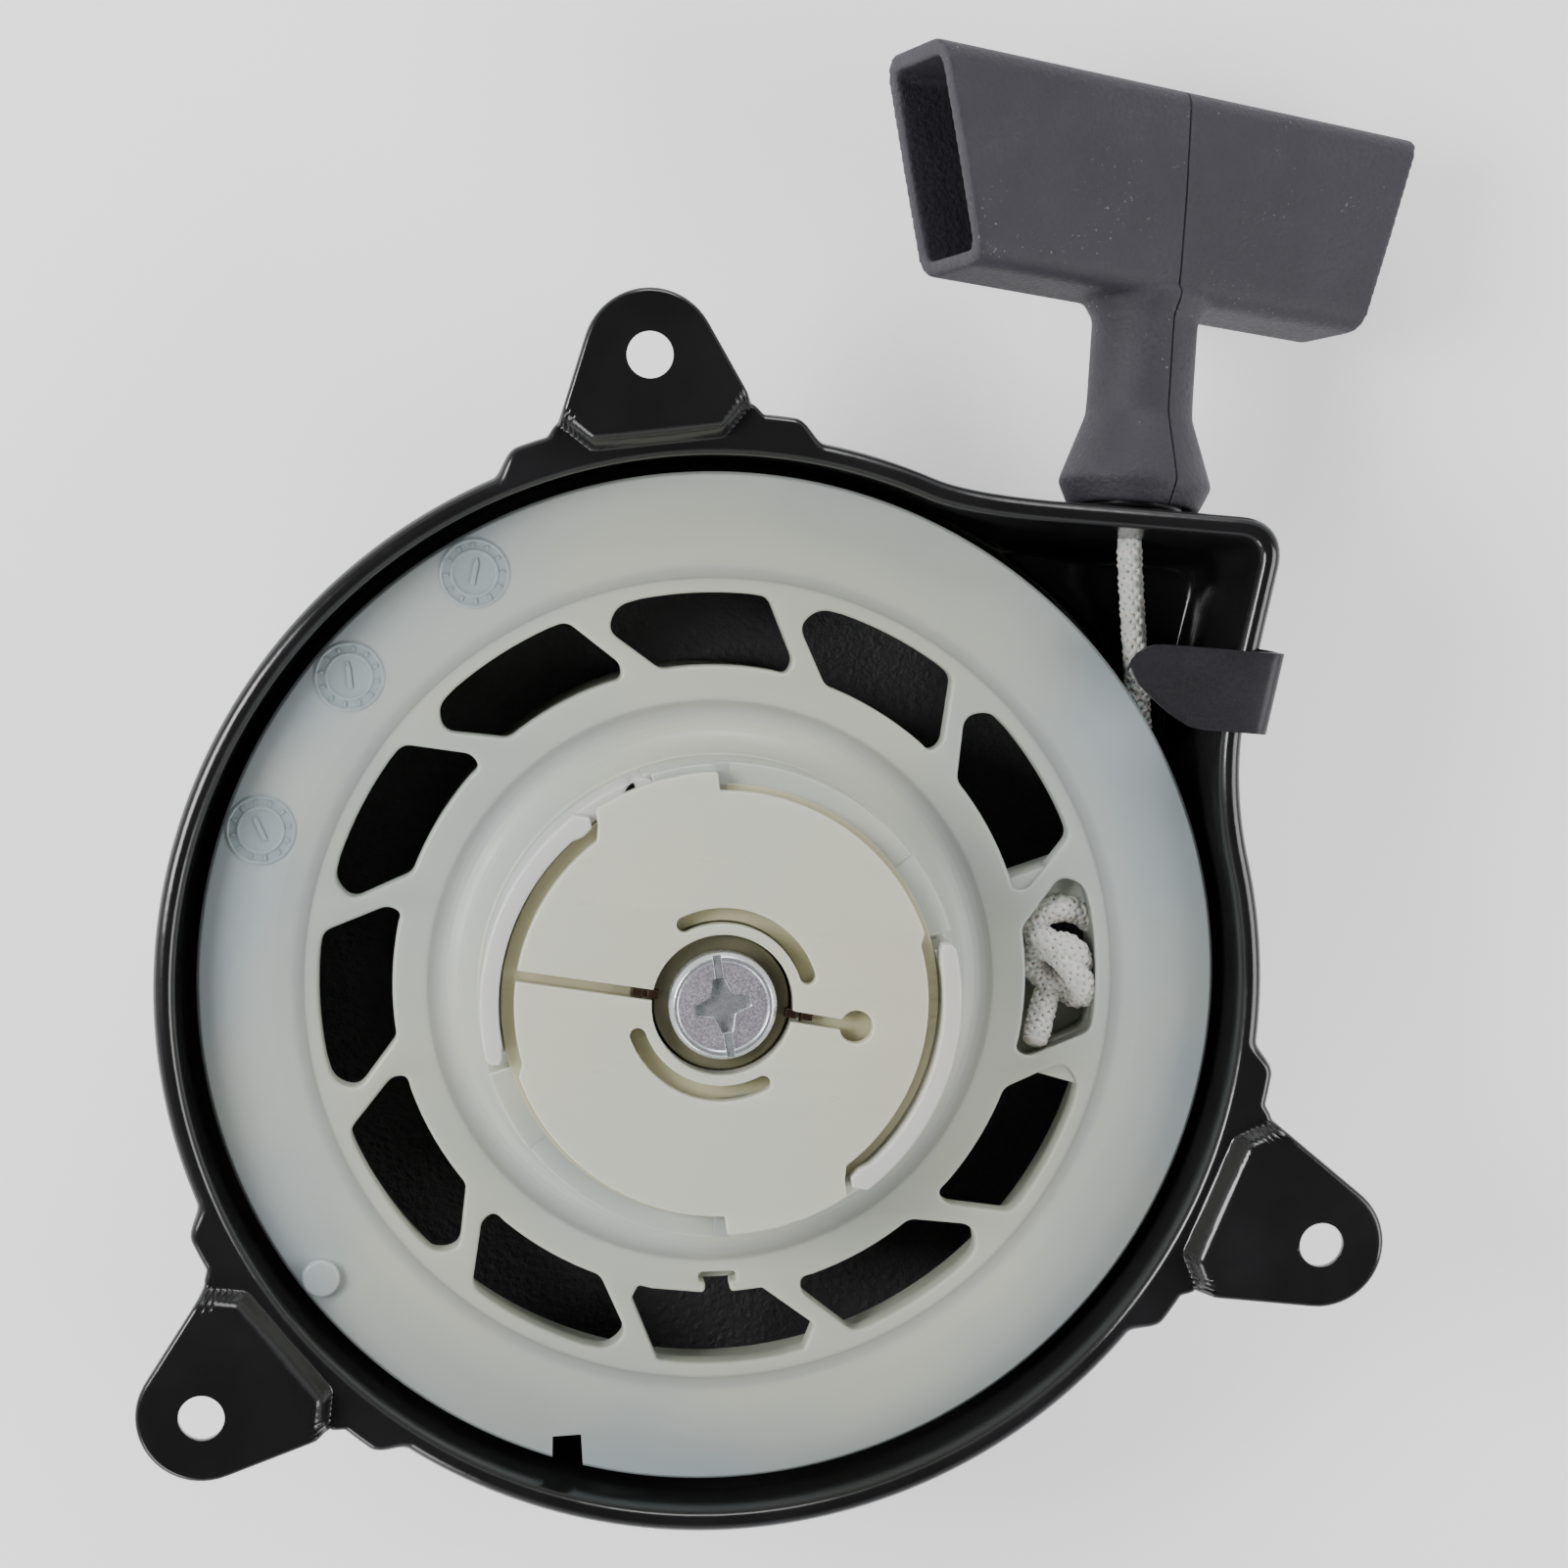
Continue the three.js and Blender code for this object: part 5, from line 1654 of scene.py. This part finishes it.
    def boss(self) -> bpy.types.Object:
        """The small round boss on the flange.

        Returns:
            The boss.
        """
        x, y = polar(69.3, 216.6)
        radius, low, high = 2.65, self.top - 1.2, self.top + 1.5
        profile = rounded([(0, low), (radius, low), (radius, high), (0, high)], 0.5, 4, closed=False)
        piece = lathe("boss", profile, 40)
        piece.data.transform(Matrix.Translation((x * MM, y * MM, 0)))
        return piece

    def date_wheel(self, index: int, angle: float) -> None:
        """A mould-date disc: a shallow ring, a pointer and short ticks, with no lettering.

        Args:
            index: The disc's number, from 0.
            angle: Its angle on the flange in degrees.
        """
        x, y = polar(67.1, angle)
        top = self.top
        ring = lathe("ring", rounded([
            (0, top - 0.3), (4.95, top - 0.3), (4.95, top + 0.08), (4.6, top + 0.24), (4.4, top + 0.02),
            (3.4, top + 0.02),
            (3.3, top + 0.2), (3.0, top + 0.2), (2.9, top + 0.03), (0, top + 0.03),
        ], 0.06, 2, closed=False), 64)
        arrow = [(-0.3, -1.6), (0.3, -1.6), (0.3, 1.4), (0.0, 2.2), (-0.3, 1.4)]
        parts = [ring, plate("pointer", arrow, [], top, top + 0.3, 0.05, 1)]
        for i in range(12):
            bar = [(-0.16, 3.6), (0.16, 3.6), (0.16, 4.25), (-0.16, 4.25)]
            tick = plate("tick", bar, [], top, top + 0.24, 0.03, 1)
            parts.append(turn(tick, 30 * i + 15))
        disc = combine(f"date_disc_{index + 1}", parts)
        disc.data.transform(Matrix.Rotation(math.radians(18 * index - 12), 4, "Z"))
        disc.data.transform(Matrix.Translation((x * MM, y * MM, 0)))
        cooler = Nylon("date_disc_nylon", "nylon", (0.34, 0.41, 0.44), (0.40, 0.46, 0.45), 0.32, 0.3, 1.6)
        self.dress(soften(disc), cooler, Body.PULLEY)


@dataclass
class RopeStore(Assembly):
    """The rope wound in the groove, and its knot in the pulley's pocket."""

    rope: Braid = field(default_factory=Braid)
    z_low: float = 28.4
    z_high: float = 31.9
    exit_z: float = 30.2
    first_radius: float = 59.9
    growth: float = 0.2
    turns: float = 5.5
    per_turn: int = 36
    settle: float = 0.4
    end_angle: float = 5.0

    def build(self) -> None:
        """Five and a half turns laid in two layers, then the knot."""
        places: list[Vector] = []
        for i in range(int(self.turns * self.per_turn) + 1):
            done = i / self.per_turn
            left = self.turns - done
            wave = 0.5 - 0.5 * math.cos(math.pi * done)
            z = self.z_low + (self.z_high - self.z_low) * wave
            z += (self.exit_z - z) * smoothstep((done - self.turns + self.settle) / self.settle)
            radius = self.first_radius + self.growth * done
            places.append(Vector((*polar(radius, self.end_angle - 360 * left), z)))
        coil = tube("rope_coil_turns", Path(places), 1.72, 2.2, 12)
        self.dress(coil, RopeBraid("wound_rope"), Body.PULLEY, ["rope_coil"])
        self.knot()

    def knot(self) -> None:
        """An overhand knot, pulled tight, with its cut end lying in the pocket."""
        z = 31.2
        line = [
            (56.0, 7.2, z - 2.0), (54.2, 8.6, z - 0.6), (51.0, 9.6, z + 0.6), (47.9, 8.4, z + 0.4),
            (46.9, 6.2, z + 0.6),
            (48.9, 4.9, z + 2.6), (52.0, 4.0, z + 2.9), (53.6, 1.6, z + 1.4), (52.6, -0.8, z - 0.6),
            (49.6, -1.0, z - 0.8),
            (47.3, 1.0, z - 0.6), (47.2, 3.6, z + 0.4), (48.9, 4.0, z + 1.8), (51.2, 2.2, z + 2.8),
            (53.4, -0.6, z + 2.6),
            (54.6, -2.6, z + 1.0), (53.4, -3.4, z - 1.0), (50.6, -2.0, z - 1.8), (49.2, -3.6, z - 1.0),
            (48.3, -6.0, z + 0.2),
            (47.2, -9.4, z + 1.6),
        ]
        knotted = Braid(1.92, 8, 10.5, 0.58, 0.36, 0.36)
        rope = knotted.build("knot_braid", Path([Vector(p) for p in line]))
        melted = [(0, -0.6), (1.75, -0.5), (1.85, 0.4), (1.1, 1.0), (0, 1.15)]
        end = lathe("melted_end", rounded(melted, 0.4, 3, closed=False), 24)
        way = (Vector(line[-1]) - Vector(line[-2])).normalized()
        end.data.transform(Vector((0, 0, 1)).rotation_difference(way).to_matrix().to_4x4())
        end.data.transform(Matrix.Translation(Vector(line[-1]) * MM))
        piece = combine("knot_in_pocket", [rope, soften(end)])
        # Painted light: the knot's rope takes a lighter tone than the run and the coil, standing in for the
        # brighter light that the knot catches.
        self.dress(piece, RopeBraid("knot_rope", tone=(0.86, 0.83, 0.76)), Body.PULLEY, ["pulley_knot"])


@dataclass
class Clutch(Assembly):
    """The split friction plate, its spring clip and the two pawls."""

    top: float = 54.2
    thick: float = 2.5
    radius: float = 29.4
    pawl_side_radius: float = 28.4
    lobe_radius: float = 32.0
    lobe_start: float = 91.0
    lobe_end: float = 123.5
    hole: float = 9.7
    slit_angle: float = 171.1
    slit: float = 1.5

    def build(self) -> None:
        """The plate, its collar, the clip's tangs and the pawls."""
        cream = Nylon("cream_nylon", "cream_nylon", (0.64, 0.655, 0.56), (0.67, 0.65, 0.50), 0.32, 0.4, 2.4)
        collar_line = [(self.hole, 44.2), (11.0, 44.2), (11.0, 52.0), (self.hole, 52.0)]
        collar = lathe("collar", rounded(collar_line, 0.3, 3), 64)
        disc = plate(
            "disc", self.outline(), [self.slot(66.3), self.slot(248.1)], self.top - self.thick, self.top,
            0.28, 3
        )
        self.dress(soften(combine("friction_disc", [disc, collar])), cream, Body.PLATE, ["friction_plate"])
        self.tangs()
        white = Nylon("pawl_nylon", "white_nylon", (0.66, 0.67, 0.66), (0.70, 0.68, 0.60), 0.34, 0.35, 1.6)
        for turned, body, node in ((0, Body.PAWL_A, "pawl_a"), (180, Body.PAWL_B, "pawl_b")):
            self.dress(turn(self.pawl(f"swinging_{node}"), turned), white, body, [node])

    def edge(self, start: float, end: float, radius: float) -> list[Point2]:
        """A stretch of the plate's round edge."""
        return arc((0, 0), radius, start, end, max(int(abs(end - start) / 2.5), 2))

    def outline(self) -> list[Point2]:
        """The plate's edge, run into the slits and the middle hole as one loop.

        Returns:
            The outline.
        """
        slit, half = self.slit_angle, self.slit / 2
        points: list[Point2] = []
        lobe_a, lobe_b = (self.lobe_start, self.lobe_end), (self.lobe_start + 180, self.lobe_end + 180)
        points += self.edge(slit + 1.6, 196, self.pawl_side_radius)
        points += self.edge(199, lobe_b[0] - 0.3, self.radius)
        points += self.edge(lobe_b[0] + 0.2, lobe_b[1] - 1.0, self.lobe_radius)
        points.append(polar(self.radius + 0.6, lobe_b[1] + 0.8))
        points += self.edge(lobe_b[1] + 3.5, 376, self.pawl_side_radius)
        points += self.edge(379, lobe_a[0] + 359.7, self.radius)
        points += self.edge(lobe_a[0] + 360.2, lobe_a[1] + 359.0, self.lobe_radius)
        points.append(polar(self.radius + 0.6, lobe_a[1] + 360.8))
        points += self.edge(lobe_a[1] + 363.5, slit + 358.4, self.pawl_side_radius)
        points = rounded(points, 0.4, 3)
        points += [self.across(slit, 27.4, -half), self.across(slit, self.hole, -half)]
        near = slit - 181.4
        points += arc((0, 0), self.hole, slit - 5.0, near + 4.9, 40)
        points += [self.across(near, 10.2, half), self.across(near, 16.3, half)]
        points += arc(polar(18.7, near), 2.3, near + 161, near - 161, 28)
        points += [self.across(near, 16.3, -half), self.across(near, 10.2, -half)]
        points += arc((0, 0), self.hole, near - 4.9, slit - 355, 40)
        points += [self.across(slit, self.hole, half), self.across(slit, 27.4, half)]
        return points

    def across(self, angle: float, reach: float, aside: float) -> Point2:
        """A point beside the ray at an angle.

        Args:
            angle: The ray's angle in degrees.
            reach: The distance along it.
            aside: The distance beside it.

        Returns:
            The point.
        """
        x, y = polar(reach, angle)
        dx, dy = polar(aside, angle + 90)
        return x + dx, y + dy

    def slot(self, middle: float) -> list[Point2]:
        """A curved slot with round ends.

        Args:
            middle: The angle of its middle in degrees.

        Returns:
            The outline.
        """
        inner, outer, half = 11.2, 13.4, 48.7
        radius = (outer - inner) / 2
        centre_radius = (outer + inner) / 2
        points = arc((0, 0), outer, middle - half, middle + half, 30)
        points += arc(
            polar(centre_radius, middle + half), radius, middle + half, middle + half + 180, 8
        )[1:-1]
        points += arc((0, 0), inner, middle + half, middle - half, 30)
        points += arc(
            polar(centre_radius, middle - half), radius, middle - half + 180, middle - half + 360, 8
        )[1:-1]
        return points

    def tangs(self) -> None:
        """The clip's two bent ends in the slits, and its band inside the collar."""
        parts = [
            lathe("band", rounded([(8.85, 44.8), (9.35, 44.8), (9.35, 50.0), (8.85, 50.0)], 0.12, 2), 64)
        ]
        for angle in (self.slit_angle, self.slit_angle - 180):
            for reach in (8.8, 11.0):
                a, b = reach, reach + 1.6
                sides = ((a, -0.62), (b, -0.62), (b, 0.62), (a, 0.62))
                corners = [self.across(angle, out, aside) for out, aside in sides]
                parts.append(plate("tang", corners, [], 46.0, 53.3, 0.15))
        clip = combine("clutch_spring", parts)
        brown = SatinSteel("browned_spring_steel", "blued_steel", (0.058, 0.034, 0.022), 0.7, 0.34)
        self.dress(soften(clip), brown, Body.PLATE, ["friction_spring"])

    def pawl(self, name: str) -> bpy.types.Object:
        """One pawl: a curved blade with a hooked tip, and its eye and pin.

        Args:
            name: The object's name.

        Returns:
            The pawl.
        """
        low, high = 41.5, 53.9
        start, tip = 126.0, 194.6
        blade = arc((0, 0), 33.1, start + 1.5, tip - 2.0, 36)
        blade += [polar(32.6, tip - 0.6), polar(31.4, tip), polar(30.9, tip - 1.4)]
        blade += arc((0, 0), 30.5, tip - 5, start + 6, 30)
        blade += [polar(30.0, start + 3.2), polar(30.2, start), polar(31.5, start - 1.2)]
        crown = plate("crown", rounded(blade, 0.5, 3), [], 49.5, high, 0.45, 4)
        root = plate("root", sector(30.3, 32.9, 111, tip - 2, 40), [], low, 51.0, 0.3)
        round_parts = []
        for part, radius, foot, end, sides in (
            ("eye", 2.8, low, 51.0, 32), ("pin", 1.5, low - 3.3, low + 0.5, 24)
        ):
            profile = rounded([(0, foot), (radius, foot), (radius, end), (0, end)], 0.3, 3, closed=False)
            round_parts.append(lathe(part, profile, sides))
        x, y = polar(30.2, 111)
        for part in round_parts:
            part.data.transform(Matrix.Translation((x * MM, y * MM, 0)))
        return soften(combine(name, [crown, root, *round_parts]))


@dataclass
class Middle(Assembly):
    """The screw and the washer under it."""

    head: float = 7.4
    top: float = 55.3
    under: float = 51.9

    def build(self) -> None:
        """The screw's shiny rim, its grainy flat with a cross recess, and the washer."""
        self.screw()
        washer = lathe(
            "screw_washer", rounded([(3.5, 49.7), (9.35, 49.7), (9.35, 51.6), (3.5, 51.6)], 0.3, 3), 80
        )
        # A dull olive-grey steel for the washer under the screw head.
        olive_grey = SatinSteel("olive_grey_steel", "zinc", (0.17, 0.16, 0.10), 0.35, 0.36)
        self.dress(soften(washer), olive_grey, Body.HOUSING, ["retaining_washer"])

    def recess(self) -> bpy.types.Object:
        """The cross recess as a tool: a tapered cross with waisted arms.

        Returns:
            The tool.
        """
        arm, waist, tip = 3.9, 1.5, 0.75
        corners: list[Point2] = []
        for i in range(4):
            corners += spun([(waist, -waist), (arm, -tip), (arm, tip)], 90 * i)
        return turn(plate("cross", rounded(corners, 0.25, 3), [], self.top - 1.4, self.top + 1, 0.05), 10)

    def screw(self) -> None:
        """The head with its rolled rim, in two finishes."""
        head = self.head
        rim = lathe("screw_rim", rounded([
            (0, self.under), (head, self.under), (head, self.top - 0.8), (head - 0.6, self.top),
            (head - 1.15, self.top),
            (head - 1.35, self.top - 0.3), (0, self.top - 0.3),
        ], 0.45, 4, closed=False), 96)
        shank = lathe(
            "screw_shank", [(0, 36.0), (2.9, 36.5), (2.9, self.under + 0.2), (0, self.under + 0.2)], 32
        )
        boolean(rim, self.cuts(0.42))
        self.dress(
            soften(combine("retaining_screw_head", [rim, shank])), PlatedSteel(), Body.HOUSING,
            ["retaining_screw"]
        )
        flat = plate(
            "screw_flat", arc((0, 0), head - 1.33, 0, 357, 119), [], self.top - 0.6, self.top - 0.22, 0.05
        )
        boolean(flat, self.cuts(0.8))
        self.dress(
            soften(flat), PlatedSteel("screw_flat_zinc", "zinc", (0.56, 0.52, 0.60), 0.36, 1.0),
            Body.HOUSING
        )

    def cuts(self, depth: float) -> list[bpy.types.Object]:
        """The cross recess and the two slots of a depth that run from it through the rim.

        Args:
            depth: The slots' depth in millimetres.

        Returns:
            The tools.
        """
        tools = [self.recess()]
        for angle in (97.6, 279):
            x, y = polar(self.head - 1.0, angle)
            low, high = self.top - depth, self.top + 1
            mark = plate("mark", [(-0.6, -3.6), (0.6, -3.6), (0.6, 1.5), (-0.6, 1.5)], [], low, high, 0.05)
            mark.data.transform(
                Matrix.Translation((x * MM, y * MM, 0)) @ Matrix.Rotation(math.radians(angle - 90), 4, "Z")
            )
            tools.append(mark)
        return tools


@dataclass
class Grip(Assembly):
    """The hollow T-shaped grip, moulded in one with its waisted stem and flared foot."""

    stem: float = 26.5
    stem_radius: float = 7.6
    foot_radius: float = 11.0
    mouth: float = 8.6
    length: float = 81.8
    foot_length: float = 65.0
    height: float = 30.3
    depth: float = 17.0
    wall: float = 2.2
    corner: float = 3.6
    core: float = 9.5
    roll: float = 21.0
    voxel: float = 0.42

    def foot(self) -> Vector:
        """The middle of the grip's foot, in millimetres."""
        return Vector((61.2, 70.0, 30.2))

    def stand(self) -> Matrix:
        """The grip's frame: Z along the stem, X along the bar.

        Returns:
            The matrix that places the grip.
        """
        way = joint_axis("handle_pull")
        side = Vector((way.y, -way.x, 0)).normalized()
        down = way.cross(side)
        bar = side * math.cos(math.radians(self.roll)) + down * math.sin(math.radians(self.roll))
        depth = way.cross(bar)
        turned = Matrix((bar, depth, way)).transposed().to_4x4()
        return Matrix.Translation(self.foot() * MM) @ turned

    def section(self, inset: float) -> list[Point2]:
        """The bar's section as (depth, height) points.

        Args:
            inset: How far inside the outer skin.

        Returns:
            The outline.
        """
        half, low, high = self.depth / 2 - inset, self.stem + inset, self.stem + self.height - inset
        corners = [
            (-half, low), (half, low), (half + 0.3, (low + high) / 2), (half, high), (-half, high),
            (-half - 0.3, (low + high) / 2)
        ]
        return rounded(corners, max(self.corner - inset, 1.4), 6)

    def half_length(self, height: float) -> float:
        """Half the bar's length at a height; its ends slant outwards."""
        share = (height - self.stem) / self.height
        return (self.foot_length + (self.length - self.foot_length) * share) / 2

    def bar(self, steps: int = 8) -> bpy.types.Object:
        """The solid bar, slice by slice from one slanted end to the other."""
        shares = [2 * i / steps - 1 for i in range(steps + 1)]
        return loft(
            "bar", [[(share * self.half_length(z), y, z) for y, z in self.section(0)] for share in shares]
        )

    def hollow(self, way: int) -> bpy.types.Object:
        """The tool that hollows one side of the bar, from its middle web outwards."""
        return loft(
            "hollow",
            [[(way * reach, y, z) for y, z in self.section(self.wall)] for reach in (self.core, 60.0)]
        )

    def build(self) -> None:
        """Bar and stem fused by a fine remesh, the parting line cut in, and the rope inside."""
        whole = self.bar()
        stem_line = [
            (0, 1.0), (self.mouth, 1.0), (self.mouth, -3.2), (self.foot_radius - 1.7, -3.2),
            (self.foot_radius, 0.5),
            (self.stem_radius + 0.1, 10.2), (self.stem_radius, 13.0), (self.stem_radius, self.stem - 2.4),
            (self.stem_radius + 2.2, self.stem + 1.4), (0, self.stem + 2),
        ]
        stem = lathe("stem", rounded(stem_line, 1.0, 4, closed=False), 72)
        boolean(whole, [stem], "UNION")
        tools = [self.hollow(1), self.hollow(-1)]
        socket = [(0, -5), (self.mouth, -5), (self.mouth, 1.0), (self.stem_radius - 1.8, 7.0), (0, 7.0)]
        tools.append(lathe("hollow_foot", socket, 64))
        tools.append(cylinder(Vector((0, 0, 16)), Vector((0, 0, 1)), 2.2, 60, 24))
        boolean(whole, tools)
        self.fuse(whole)
        whole.name = "pull_grip"
        whole.data.transform(self.stand())
        self.dress(whole, MouldedGrip(), Body.HANDLE, ["grip", "grip_knot", "grip_washer"])
        self.lead()

    def fuse(self, piece: bpy.types.Object) -> None:
        """Remeshes the joined solids, eases the corners and cuts the parting line.

        Args:
            piece: The piece.
        """
        remesh = piece.modifiers.new("fuse", "REMESH")
        remesh.mode = "VOXEL"
        remesh.voxel_size = self.voxel * MM
        remesh.adaptivity = 0
        ease = piece.modifiers.new("ease", "SMOOTH")
        ease.factor = 0.5
        ease.iterations = 6
        apply_modifiers(piece)
        shell = bmesh.new()
        shell.from_mesh(piece.data)
        for place in (-0.24, 0.0, 0.24):
            everything = shell.verts[:] + shell.edges[:] + shell.faces[:]
            bmesh.ops.bisect_plane(
                shell, geom=everything, plane_co=(place * MM, 0, 0), plane_no=(1, 0, 0), dist=1e-7
            )
        shell.normal_update()
        for vertex in shell.verts:
            if abs(vertex.co.x) < 0.01 * MM and (vertex.co.xy.length > 4 * MM or vertex.co.z > 50 * MM):
                vertex.co -= vertex.normal * 0.34 * MM
        shell.to_mesh(piece.data)
        shell.free()
        soften(piece, 50)

    def lead(self) -> None:
        """The rope through the foot, which draws out as the grip is pulled."""
        way, foot = joint_axis("handle_pull"), self.foot()
        line = Path([foot + way * -3.3, foot + way * 2, foot + way * 12, foot + way * 32])
        rope = Braid().build("rope_lead_braid", line)
        rope.data.materials.append(RopeBraid().material())
        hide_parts("rope_lead")
        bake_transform(rope)
        self.pieces.append(rope)


@dataclass
class HiddenParts(Assembly):
    """The frame's own inner pieces, which keep their shape and get their finish."""

    def build(self) -> None:
        """Dresses each inner node."""
        zinc = PlatedSteel()
        blued = SatinSteel("blued_spring_steel", "blued_steel", (0.055, 0.05, 0.06), 0.85, 0.3)
        for name, finish in (
            ("centre_post", zinc), ("thrust_washer", zinc), ("spring_cover", zinc), ("recoil_spring", blued)
        ):
            node = frame["nodes"][name]
            node.data.materials.clear()
            node.data.materials.append(finish.material())
            self.pieces.append(node)


# ---- studio -----------------------------------------------------------------------------------
@dataclass
class Studio:
    """The camera, the lights and the pale floor."""

    camera_place: Point3 = (-34.7, 75.9, 478.5)
    aim: Point3 = (8.62, 32.0, 36.0)
    roll: float = 0.11
    lens: float = 72.52
    shift: Point2 = (0.0069, -0.0162)
    horizon: float = 0.30
    ceiling: float = 0.72
    sky: float = 0.9

    def build(self) -> None:
        """Sets up the whole studio."""
        self.camera()
        self.floor()
        self.world()
        self.area("key", (-410, 110, 420), 260, 2.7, (0, 10, 30))
        self.area("fill", (430, -60, 330), 300, 1.3, (0, 0, 30))
        self.area("back", (60, 520, 260), 280, 1.15, (0, 40, 30))
        self.area("low", (-300, -400, 260), 280, 1.0, (0, 0, 30))

    def camera(self) -> None:
        """The camera, aimed at a point and rolled about its own axis."""
        data = bpy.data.cameras.new("camera")
        data.lens = self.lens
        data.sensor_width = 36.0
        data.shift_x, data.shift_y = self.shift
        data.clip_start, data.clip_end = 0.01, 10
        holder = bpy.data.objects.new("camera", data)
        bpy.context.scene.collection.objects.link(holder)
        place, aim = Vector(self.camera_place), Vector(self.aim)
        back = (place - aim).normalized()
        right = Vector((0, 1, 0)).cross(back).normalized()
        up = back.cross(right)
        turned = Matrix((right, up, back)).transposed().to_4x4() @ Matrix.Rotation(
            math.radians(self.roll), 4, "Z"
        )
        holder.matrix_world = Matrix.Translation(place * MM) @ turned
        bpy.context.scene.camera = holder

    def floor(self) -> None:
        """A pale floor under the back."""
        size = 3000
        corners = [(x * size, y * size, -0.05) for x, y in ((-1, -1), (1, -1), (1, 1), (-1, 1))]
        sheet = from_faces("floor", corners, [(0, 1, 2, 3)])
        nodes = Nodes("pale_floor")
        nodes.wire(
            Base_Color=(0.95, 0.95, 0.96, 1), Roughness=0.85, Emission_Color=(1, 1, 1, 1),
            Emission_Strength=0.62
        )
        sheet.data.materials.append(nodes.material)

    def world(self) -> None:
        """A bright horizon under a dark ceiling, so that flat enamel stays black and its edges shine."""
        world = bpy.data.worlds.new("studio")
        bpy.context.scene.world = world
        world.use_nodes = True
        tree = world.node_tree
        place = tree.nodes.new("ShaderNodeTexCoord")
        split = tree.nodes.new("ShaderNodeSeparateXYZ")
        ramp = tree.nodes.new("ShaderNodeValToRGB")
        tree.links.new(place.outputs["Generated"], split.inputs[0])
        tree.links.new(split.outputs["Z"], ramp.inputs[0])
        tree.links.new(ramp.outputs[0], tree.nodes["Background"].inputs[0])
        ramp.color_ramp.interpolation = "EASE"
        for element, (height, level) in zip(
            ramp.color_ramp.elements, ((self.horizon, 1.0), (self.ceiling, 0.04))
        ):
            element.position = height
            element.color = (0.94 * level, 0.96 * level, level, 1)
        tree.nodes["Background"].inputs[1].default_value = self.sky

    def area(self, name: str, place: Point3, size: float, power: float, aim: Point3) -> None:
        """A soft box at a place, turned towards a point.

        Args:
            name: The lamp's name.
            place: Its place in millimetres.
            size: Its longer side.
            power: Its power in watts.
            aim: The point that it faces.
        """
        data = bpy.data.lights.new(name, "AREA")
        data.shape = "RECTANGLE"
        data.size, data.size_y = size * MM, size * 0.8 * MM
        data.energy = power
        lamp = bpy.data.objects.new(name, data)
        bpy.context.scene.collection.objects.link(lamp)
        way = Vector(aim) - Vector(place)
        lamp.rotation_euler = way.to_track_quat("-Z", "Y").to_euler()
        lamp.location = Vector(place) * MM


def main() -> None:
    """Builds the studio and every sub-assembly."""
    logging.basicConfig(level=logging.INFO, format="%(name)s %(message)s")
    Studio().build()
    for assembly in (
        Housing(), GuardTab(), RopeExit(), Pulley(), RopeStore(), Clutch(), Middle(), Grip(), HiddenParts()
    ):
        assembly.build()
        assembly.report()


if __name__ == "__main__":
    main()
